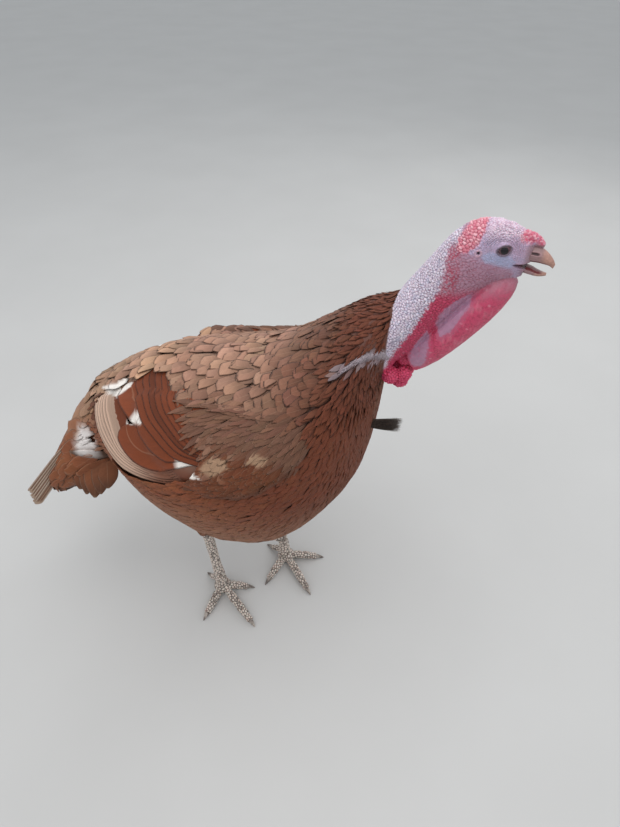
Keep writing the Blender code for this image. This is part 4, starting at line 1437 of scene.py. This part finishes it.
def along_tone(coat, places, look, rng):
    """Each feather's tone over its rows and columns, with the patches that run over several feathers."""
    rows = look["grid"][0]
    count = len(coat["tone"])
    tone = coat["tone"] * np.exp(rng.normal(0, look["vary"], (count, 1)))
    tone = tone * (1 + rng.normal(0, 0.02, (count, 3)))
    grid = np.broadcast_to(tone[:, None, None], places.shape)
    # Darker towards the root and lighter towards the tip: partly the feather's darker base, partly painted
    # shade under the overlapping feather above and painted light on the exposed tip.
    grid = grid * (1 + look["dark_base_and_shade"] * (1.6 * ramp(rows, 0.30, 0.95) - 1.15))[None, :, None, None]
    flat = slanted(places.reshape(-1, 3))
    ragged = rng.normal(0, 1.2 * MM, count)[:, None] * np.ones(places.shape[1] * places.shape[2])[None]
    crisp, soft = white_patches(flat, ragged.ravel())
    beige = [within(flat, outline, ragged.ravel()) for outline in (BEIGE_TUFT, BEIGE_TUFT_AHEAD)]
    grid = mix(grid, BEIGE, np.maximum(*beige).reshape(grid.shape[:3]) * 0.85)
    grid = mix(grid, WHITE, crisp.reshape(grid.shape[:3]))
    grid = mix(grid, SOFT_WHITE, soft.reshape(grid.shape[:3]))
    return np.clip(grid, 0.0, 0.95)


def coat_looks():
    """How each part of the coat is laid. Lift of the tips and depth of the roots are in mm."""
    # dark_base_and_shade: how much darker a feather is at its root and lighter at its tip, partly painted
    # shade of the overlap.
    keys = ("material", "lift", "depth", "square", "fray", "roll", "droop", "vary", "dark_base_and_shade", "grid")
    flank = (body_look, 0.25, 3.6, 0.45, 0.04, 0.05, 0.10, 0.05, 0.08, SMALL)
    wing = (covert_look, 0.6, 4.4, 0.45, 0.03, 0.08, 0.12, 0.06, 0.16, LARGE)
    table = {
        "neck": (body_look, 0.9, 4.6, 0.35, 0.05, 0.20, 0.10, 0.07, 0.14, SMALL),
        "back": (back_look, 0.8, 5.0, 0.88, 0.025, 0.07, 0.12, 0.11, 0.30, LARGE),
        "flank_right": flank,
        "flank_left": flank,
        "belly": (belly_look, 0.20, 3.6, 0.45, 0.03, 0.05, 0.10, 0.05, 0.07, SMALL),
        "wing_right": wing,
        "wing_left": wing,
        "tail": (tail_covert_look, 0.8, 5.0, 0.62, 0.012, 0.04, 0.20, 0.06, 0.16, LARGE),
    }
    return {label: dict(zip(keys, values)) for label, values in table.items()}


def make_body_coat():
    rng = np.random.default_rng(COAT_SEED)
    points, normals, owner = candidates(rng)
    length, width, spacing = feather_sizes(points, normals, owner)
    kept = scattered(points, spacing, rng)
    points, normals, owner = points[kept], normals[kept], owner[kept]
    x, y, z = points.T
    coverts, tail = np.char.startswith(owner, "wing_coverts"), owner == "tail_coverts"
    back = (normals[:, 2] > 0.3) & (x < 0.185) & (slanted(points)[:, 2] > back_line(x)) & ~tail
    coverts &= ~back
    neck = (z > 0.50) & ~back & ~coverts & ~tail
    low = (z < 0.27) & ~tail
    rest = ~(coverts | tail | back | neck | low)
    flow = lie_of_coat(points, normals)
    stray = rng.normal(0, 1, len(kept)) * (0.08 + 0.10 * back + 0.08 * neck)
    coat = {
        "roots": points,
        "normals": normals,
        "flow": unit(flow + np.cross(normals, flow) * stray[:, None]),
        "length": length[kept] * rng.uniform(0.88, 1.14, len(kept)),
        "width": width[kept] * rng.uniform(0.86, 1.16, len(kept)),
        "tone": plumage_tone(points, normals, owner),
    }
    groups = {
        "neck": neck,
        "back": back,
        "flank_right": rest & (y < 0),
        "flank_left": rest & (y >= 0),
        "belly": low,
        "wing_right": coverts & (y < 0),
        "wing_left": coverts & (y >= 0),
        "tail": tail,
    }
    pieces = {}
    for label, look in coat_looks().items():
        chosen = {key: values[groups[label]] for key, values in coat.items()}
        pieces[label] = lay_feathers("coat_" + label, chosen, look, rng)
    return pieces


FLIGHT_ROWS = 1 - (1 - np.linspace(0, 1, 32)) ** 1.25
FLIGHT_COLUMNS = np.array((-1.0, -0.85, -0.65, -0.45, -0.25, -0.07, 0.0, 0.07, 0.25, 0.45, 0.65, 0.85, 1.0))

# The folded wing is drawn in a slanted view, from the bird's side and 40 degrees up.
# Each place is x and the height shown.
SLANT_ANGLE = math.radians(40)
SLANT = (math.cos(SLANT_ANGLE), math.sin(SLANT_ANGLE))
SIDE_ON = (1.0, 0.0)
PRIMARY_LOW = (
    (0.040, 0.198), (-0.007, 0.182), (-0.045, 0.1785), (-0.085, 0.178), (-0.120, 0.184), (-0.162, 0.208),
    (-0.190, 0.246), (-0.193, 0.272),
)
PRIMARY_HIGH = (
    (0.032, 0.212), (-0.020, 0.193), (-0.045, 0.1945), (-0.083, 0.200), (-0.111, 0.213), (-0.133, 0.2355),
    (-0.158, 0.262), (-0.170, 0.284), (-0.168, 0.304),
)
BAND_LOW = (
    (0.040, 0.218), (0.000, 0.2055), (-0.033, 0.198), (-0.062, 0.1975), (-0.088, 0.2065), (-0.106, 0.2205),
    (-0.1165, 0.2370),
)
BAND_HIGH = (
    (0.040, 0.222), (0.000, 0.2170), (-0.020, 0.2170), (-0.045, 0.2250), (-0.070, 0.2420), (-0.084, 0.2620),
)
REAR_MIDDLE = (
    (0.000, 0.2280), (-0.050, 0.2380), (-0.095, 0.2560), (-0.120, 0.2680), (-0.138, 0.2810),
    (-0.148, 0.2950),
)
MASS_LOW = (
    (0.0557, 0.2207), (0.0260, 0.2233), (-0.0009, 0.2290), (-0.0322, 0.2450), (-0.0617, 0.2622),
    (-0.0849, 0.2845), (-0.1114, 0.3040), (-0.1223, 0.3198), (-0.1262, 0.3400),
)
MASS_HIGH = (
    (0.0909, 0.2520), (0.0685, 0.2560), (0.0402, 0.2700), (0.0141, 0.2898), (-0.0119, 0.3113),
    (-0.0265, 0.3318), (-0.0339, 0.3450), (-0.0412, 0.3620),
)
FLIGHT_AREA = (
    (0.042, 0.206), (-0.007, 0.182), (-0.045, 0.176), (-0.085, 0.175), (-0.125, 0.180), (-0.168, 0.205),
    (-0.192, 0.247), (-0.176, 0.290), (-0.150, 0.304), (-0.136, 0.302), (-0.130, 0.332), (-0.085, 0.342),
    (-0.036, 0.350), (-0.013, 0.328), (0.012, 0.301), (0.040, 0.280), (0.058, 0.262), (0.058, 0.230),
)


def slanted(points):
    """Places in the slanted view: x, nothing, and the height shown."""
    shown = points[:, 2] * SLANT[0] - np.abs(points[:, 1]) * SLANT[1]
    return np.column_stack((points[:, 0], np.zeros(len(points)), shown))


def curve_through(points, places):
    """Smooth places along a line of points, for shares from 0 to 1."""
    points = np.array(points, float)
    padded = np.vstack((2 * points[0] - points[1], points, 2 * points[-1] - points[-2]))
    spot_at = np.clip(places, 0, 1) * (len(points) - 1)
    start = np.minimum(spot_at.astype(int), len(points) - 2)
    t = (spot_at - start)[:, None]
    p0, p1, p2, p3 = (padded[start + k] for k in range(4))
    curved = (2 * p0 - 5 * p1 + 4 * p2 - p3) * t**2
    return (2 * p1 + (p2 - p0) * t + curved + (3 * p1 - p0 - 3 * p2 + p3) * t**3) / 2


def side_surface(spots, sign, view):
    """The envelope's outer side at places in a side view or the slanted one, and the way out of it there."""
    places, turns = np.empty((len(spots), 3)), np.empty((len(spots), 3))
    outward = Vector((0, sign * view[0], view[1]))
    rising = Vector((0, -sign * view[1], view[0]))
    reach = 0.85
    for i, (x, height) in enumerate(spots):
        start = Vector((x, 0, 0)) + rising * height + outward
        place, turn, _, gap = envelope_tree.ray_cast(start, -outward)
        if place is None:
            place, turn, _, _ = envelope_tree.find_nearest(start - outward * reach)
        else:
            reach = gap
        places[i] = place
        turns[i] = turn
    return places, turns


def flight_family(rng, lower, upper, count, width, depth, tone, stop=1.0, deeper=0.0):
    """Feathers whose lower edges run evenly from one edge line up to another, each over the one below it.
    Only the mass of feathers in the wing's middle lies deeper from one to the next."""
    feathers = []
    mass = deeper > 0
    for k in range(count):
        share = k / max(count - 1, 1)
        places = np.linspace(0, 1, 80)
        edge = curve_through(lower, places) * (1 - share) + curve_through(upper, places) * share
        edge[:, 1] += rng.normal(0, 0.0014 if mass else 0.0005)
        feathers.append(
            {
                "edge": edge,
                "stop": stop - rng.uniform(0.0, 0.03),
                "width": width * rng.uniform(0.92, 1.08),
                "depth": depth + deeper * k,
                "tone": np.clip(tone * np.exp(rng.normal(0, 0.16 if mass else 0.06)), 0, 0.9),
                "pale": width < 0.030,
                "mass": mass,
            }
        )
    return feathers


def rounded_tip(near_tip, cut):
    """Widths along a long feather whose tip is rounded off over the last share of its length."""
    round_off = np.clip((FLIGHT_ROWS - 1 + near_tip) / near_tip, 0, 1)
    return np.sqrt(1 - cut * round_off**2)


def flight_grid(feather, sign, rng):
    """Places, ways out and tones of one flight feather's vane, laid on the wing's side."""
    edge, width = feather["edge"], feather["width"]
    shares = np.linspace(0, 1, len(edge))
    line = np.column_stack([np.interp(FLIGHT_ROWS * feather["stop"], shares, edge[:, k]) for k in range(2)])
    length = np.linalg.norm(np.diff(line, axis=0), axis=1).sum()
    run = unit(np.gradient(line, axis=0))
    cross = np.column_stack((run[:, 1], -run[:, 0]))
    taper = rounded_tip(min(0.5, 0.62 * width / length), 0.93) * (0.6 + 0.4 * ramp(FLIGHT_ROWS, 0, 0.3))
    over = FLIGHT_COLUMNS[None] * (width / 2) * taper[:, None]
    spots = (line + cross * (width / 2))[:, None] + cross[:, None] * over[..., None]
    grid = spots.shape[:2]
    ragged = rng.normal(0, 0.0004, grid) * ramp(np.abs(FLIGHT_COLUMNS), 0.7, 1.0)
    spots = spots + run[:, None] * ragged[..., None]
    places, turns = side_surface(spots.reshape(-1, 2), sign, SLANT)
    places, turns = places.reshape(*grid, 3), turns.reshape(*grid, 3)
    tilt = 1.5 if feather["mass"] else 1.2
    sink = feather["depth"] + tilt * (FLIGHT_COLUMNS[None] + 1) + 0.5 * FLIGHT_COLUMNS[None] ** 2
    sink = sink + 3.0 * (1 - ramp(FLIGHT_ROWS, 0.0, 0.35))[:, None]
    sink = sink + 2.0 * feather["mass"] * ramp(FLIGHT_ROWS, 0.66, 0.92)[:, None]
    top = places - turns * (np.maximum(sink, 0.35) * MM)[..., None]
    return top, unit(turns), flight_tone(feather, spots, rng)


def flight_tone(feather, spots, rng):
    tone = np.broadcast_to(feather["tone"], (*spots.shape[:2], 3))
    # Lighter along the exposed lower edge; darker towards the upper side, which lies under the next feather:
    # painted shade of the overlap.
    tone = mix(tone, tone * 1.22, ramp(-FLIGHT_COLUMNS, 0.55, 1.0) * 0.6)
    tone = mix(tone, tone * 0.8, ramp(FLIGHT_COLUMNS, -0.6, 0.2) * 0.5)
    if not feather["mass"]:
        flat = np.column_stack((spots[..., 0].ravel(), np.zeros(spots[..., 0].size), spots[..., 1].ravel()))
        patch = white_patches(flat, rng.normal(0, 0.4 * MM, len(flat)))[0].reshape(spots.shape[:2])
        tone = mix(tone, WHITE, patch)
    if feather["pale"]:
        tone = mix(tone, tone * 0.62, ramp(FLIGHT_COLUMNS, -0.75, -0.45) * 0.8)
        tone = mix(tone, FLIGHT_BROWN * 0.8, (1 - ramp(spots[..., 0], -0.02, -0.10)) * 0.85)
    return tone


def long_vanes(name, grids, thickness, rng, patch, material, mirrored=False):
    """Joins long feathers in one mesh, from each one's places, ways out and tones."""
    top, up, tones = (np.stack(kind) for kind in zip(*grids))
    columns = FLIGHT_COLUMNS
    if mirrored:
        top, up, tones = top[:, :, ::-1], up[:, :, ::-1], tones[:, :, ::-1]
        columns = -FLIGHT_COLUMNS[::-1]
    return closed_vanes(
        name, top, up, thickness, FLIGHT_ROWS, columns, rng.random(len(top)), tones,
        top[:, 0, len(columns) // 2], patch, material,
    )


def make_flights(side, sign):
    rng = np.random.default_rng(FLIGHT_SEED)
    reach = 1.0 if sign < 0 else 0.80
    families = (
        flight_family(rng, PRIMARY_LOW, PRIMARY_HIGH, 6, 0.022, 4.6, STRIP_PALE),
        flight_family(rng, PRIMARY_HIGH, PRIMARY_HIGH, 1, 0.036, 5.6, FLIGHT_BROWN * 0.8),
        flight_family(rng, REAR_MIDDLE, REAR_MIDDLE, 1, 0.046, 3.8, FLIGHT_BROWN * 1.1),
        flight_family(rng, BAND_LOW, BAND_HIGH, 2, 0.044, 3.2, FLIGHT_BROWN * 1.05),
        flight_family(rng, MASS_LOW, MASS_HIGH, 9, 0.034, 2.2, FLIGHT_BROWN * 0.88, reach, 0.04),
    )
    grids = [flight_grid(feather, sign, rng) for family in families for feather in family]
    name = "flight_feathers_" + side
    return long_vanes(name, grids, FLIGHT_VANE, rng, LONG_BAKE_PATCH, flight_look, sign > 0)


TAIL_START = np.array((-0.2505, -0.0704, 0.2909))
TAIL_ALONG = np.array((-0.564, -0.208, -0.799))
TAIL_ACROSS = np.array((-0.511, -0.673, 0.535))


def make_tail_feathers():
    """The closed tail: a narrow stack of straight feathers, each half over the next, stepped at the tips."""
    rng = np.random.default_rng(TAIL_SEED)
    along = unit(TAIL_ALONG)
    across = unit(TAIL_ACROSS - along * (TAIL_ACROSS @ along))
    up = np.cross(across, along)
    up = up * np.sign(up @ np.array((0.65, -0.71, -0.27)))
    grids = []
    for place in np.linspace(-1, 1, 6):
        shift = (9 + 11 * place) * MM
        reach = 0.182 - 1.8 * shift + rng.normal(0, 0.0015)
        half = 7.5 * MM * rng.uniform(0.94, 1.06)
        shape = rounded_tip(0.8 * half / reach, 0.80) * (0.5 + 0.5 * ramp(FLIGHT_ROWS, 0.0, 0.3))
        line = TAIL_START + FLIGHT_ROWS[:, None] * along * reach
        line = line + across * (shift * (0.75 + 0.35 * FLIGHT_ROWS))[:, None]
        over = FLIGHT_COLUMNS[None] * (half * shape)[:, None]
        tilt = over * 0.10 + place * -1.5 * MM - 0.06 * half * FLIGHT_COLUMNS[None] ** 2
        top = line[:, None] + across * over[..., None] + up * tilt[..., None]
        rough = rng.normal(0, 0.0005, over.shape) * ramp(FLIGHT_ROWS, 0.85, 1)[:, None]
        top = top + along * rough[..., None]
        tone = np.broadcast_to(mix(TAIL_OLIVE, RUFOUS, 0.25 + 0.25 * rng.random()), top.shape)
        edges, end = ramp(np.abs(FLIGHT_COLUMNS), 0.45, 0.95) * 0.9, ramp(FLIGHT_ROWS, 0.93, 1.0)
        tone = mix(tone, TAIL_EDGE, np.maximum(edges, end[:, None]) * 0.9)
        grids.append((top, np.broadcast_to(up, top.shape), tone))
    return long_vanes("tail_feathers_vanes", grids, TAIL_VANE, rng, LONG_BAKE_PATCH, tail_look)


HANGING = (
    # root, tip and half width of the feathers that hang under the tail coverts
    ((-0.205, -0.062, 0.268), (-0.204, -0.078, 0.215), 0.017),
    ((-0.240, -0.070, 0.268), (-0.252, -0.092, 0.208), 0.018),
    ((-0.222, -0.068, 0.276), (-0.228, -0.089, 0.194), 0.019),
    ((-0.213, -0.065, 0.273), (-0.217, -0.085, 0.203), 0.016),
    ((-0.232, -0.070, 0.272), (-0.241, -0.092, 0.200), 0.015),
)


def make_hanging_feathers():
    rng = np.random.default_rng(HANGING_SEED)
    shape = np.sqrt(np.clip(1 - ramp(FLIGHT_ROWS, 0.45, 1.03) ** 1.6, 0, 1))
    shape *= 0.6 + 0.4 * ramp(FLIGHT_ROWS, 0, 0.3)
    grids = []
    for root, tip, half in HANGING:
        root, tip = np.array(root), np.array(tip)
        run = unit(tip - root)
        side = unit(np.cross(run, np.array((0.55, -0.80, 0.10))))
        up = np.cross(side, run)
        over = FLIGHT_COLUMNS[None] * (half * shape)[:, None]
        line = root + FLIGHT_ROWS[:, None] * (tip - root)
        arch = 0.003 * FLIGHT_ROWS[:, None] - 0.25 * over**2 / half
        top = line[:, None] + side * over[..., None] + up * arch[..., None]
        # The hanging feathers under the tail coverts darken towards their tips: partly painted shade under
        # the coverts.
        tone = np.broadcast_to(mix(TAIL_RUFOUS, UNDERTAIL_DARK_AND_SHADE, 0.15 + 0.3 * rng.random()), top.shape)
        tone = mix(tone, UNDERTAIL_DARK_AND_SHADE * 0.8, ramp(FLIGHT_ROWS, 0.5, 1)[:, None] * 0.7)
        grids.append((top, np.broadcast_to(up, top.shape), tone))
    return long_vanes("coat_tail_hanging", grids, HANGING_VANE, rng, BAKE_PATCH, tail_covert_look)


# ---------------------------------------------------------------- camera, light, floor

CAMERA_PLACE = Vector((0.3789, -0.6173, 0.98))
CAMERA_DOWN = 40  # degrees below level
CAMERA_TURN = 22  # degrees to the left of +Y
LENS = 27.03
LIGHT_AIM = Vector((0, 0, 0.35))
FLOOR_HALF = 20


def make_light(name, place, size, power):
    light = linked(name, bpy.data.lights.new(name, "AREA"))
    light.location = place
    light.data.size = size
    light.data.energy = power
    light.rotation_euler = (LIGHT_AIM - Vector(place)).to_track_quat("-Z", "Y").to_euler()


def make_stage():
    scene = bpy.context.scene
    scene.view_settings.view_transform = "Standard"
    camera = linked("camera", bpy.data.cameras.new("camera"))
    camera.location = CAMERA_PLACE + OFFSET
    camera.rotation_euler = (math.radians(90 - CAMERA_DOWN), 0, math.radians(CAMERA_TURN))
    camera.data.lens = LENS
    camera.data.sensor_width = 36
    camera.data.clip_start = 0.01
    scene.camera = camera
    scene.world = bpy.data.worlds.new("studio")
    scene.world.use_nodes = True
    sky = scene.world.node_tree.nodes["Background"].inputs
    sky[0].default_value = (0.90, 0.95, 1.0, 1)
    sky[1].default_value = 0.72
    make_light("sky_light", (0.2, -0.4, 2.4), 3.2, 40)
    make_light("side_light", (-1.6, -1.6, 1.5), 1.8, 6)
    make_light("back_light", (0.6, 1.9, 1.7), 1.8, 10)
    far = FLOOR_HALF
    corners = [(-far, -far, 0), (far, -far, 0), (far, far, 0), (-far, far, 0)]
    shader = Shader("floor_look", Roughness=0.9)
    patches = shader.noise(shader.position(), 3.0, 4.0)
    tone = shader.blend(patches, (0.50, 0.49, 0.475), (0.56, 0.55, 0.535))
    floor = linked("floor", mesh_from("floor", corners, [(0, 1, 2, 3)]))
    new_look(floor, shader.finish(tone))


def carry(piece, slot, *nodes):
    """Moves the piece to the frame's own x, hangs it on the root body, and hides the CAD nodes it stands in
    for.
    """
    piece.data.transform(Matrix.Translation(OFFSET))
    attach(piece, "root")
    if nodes:
        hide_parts(*nodes)


# The dark rim on the breast, back and flight feathers is partly painted shadow of the gaps under their tips.
# barbs, streak, rim and its tone, shaft, roughness, gloss
body_look = feather_material("breast_feather", 26.0, 0.60, 0.10, DARK_EDGE_AND_GAP_SHADE, 0.06, 0.76, 0.12)
back_look = feather_material("back_feather", 34.0, 0.50, 0.50, DARK_EDGE_AND_GAP_SHADE, 0.10, 0.68, 0.18)
belly_look = feather_material("belly_feather", 24.0, 0.60, 0.06, PALE_EDGE, 0.04, 0.80, 0.12)
covert_look = feather_material("covert_feather", 44.0, 0.60, 0.18, PALE_EDGE, 0.12, 0.66, 0.16)
tail_covert_look = feather_material("tail_covert", 60.0, 0.50, 0.20, PALE_EDGE, 0.08, 0.66, 0.18)
flight_look = feather_material("flight_feather", 120.0, 0.34, 0.20, DARK_EDGE_AND_GAP_SHADE, 0.12, 0.60, 0.18)
tail_look = feather_material("tail_feather", 120.0, 0.40, 0.70, PALE_EDGE, 0.85, 0.55, 0.35)
eye_look = eye_material()
bill_look = bill_material()
beard_look = hair_material("beard_look", linear(44, 38, 34), linear(98, 84, 74))
down_look = hair_material("down_look", DOWN * 0.8, DOWN * 1.1)

make_stage()
skin = make_skin()
carry(skin, "neck_skin", *BARE, *LEGS, "trunk", "neck_feathered", "thigh_left", "thigh_right")
for (side, _), (centre, radius, gaze, long_axis, _) in zip(SIDES, EYES):
    carry(make_eye(side, centre, radius, gaze, long_axis), "eye", "eye_" + side)
for node in ("bill_upper", "bill_lower"):
    carry(make_bill(node), "bill_horn", node)
carry(make_beard(), "beard_bristles", "beard")
claw_look = claw_material()
for node in CLAWS:
    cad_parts[node].data.materials.clear()
    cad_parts[node].data.materials.append(claw_look)
coat = make_body_coat()
for label in ("neck", "back", "flank_right", "flank_left", "belly"):
    carry(coat[label], "plumage")
for side, _ in SIDES:
    carry(coat["wing_" + side], "wing_coverts", "wing_coverts_" + side)
carry(coat["tail"], "tail_plumage", "tail_coverts")
carry(make_hanging_feathers(), "tail_plumage")
for side, sign in SIDES:
    carry(make_flights(side, sign), "flight_feathers", "wing_flight_" + side)
    carry(make_down_streak(side, sign), "plumage")
carry(make_tail_feathers(), "tail_plumage", "tail_feathers")
bpy.data.objects.remove(envelope)
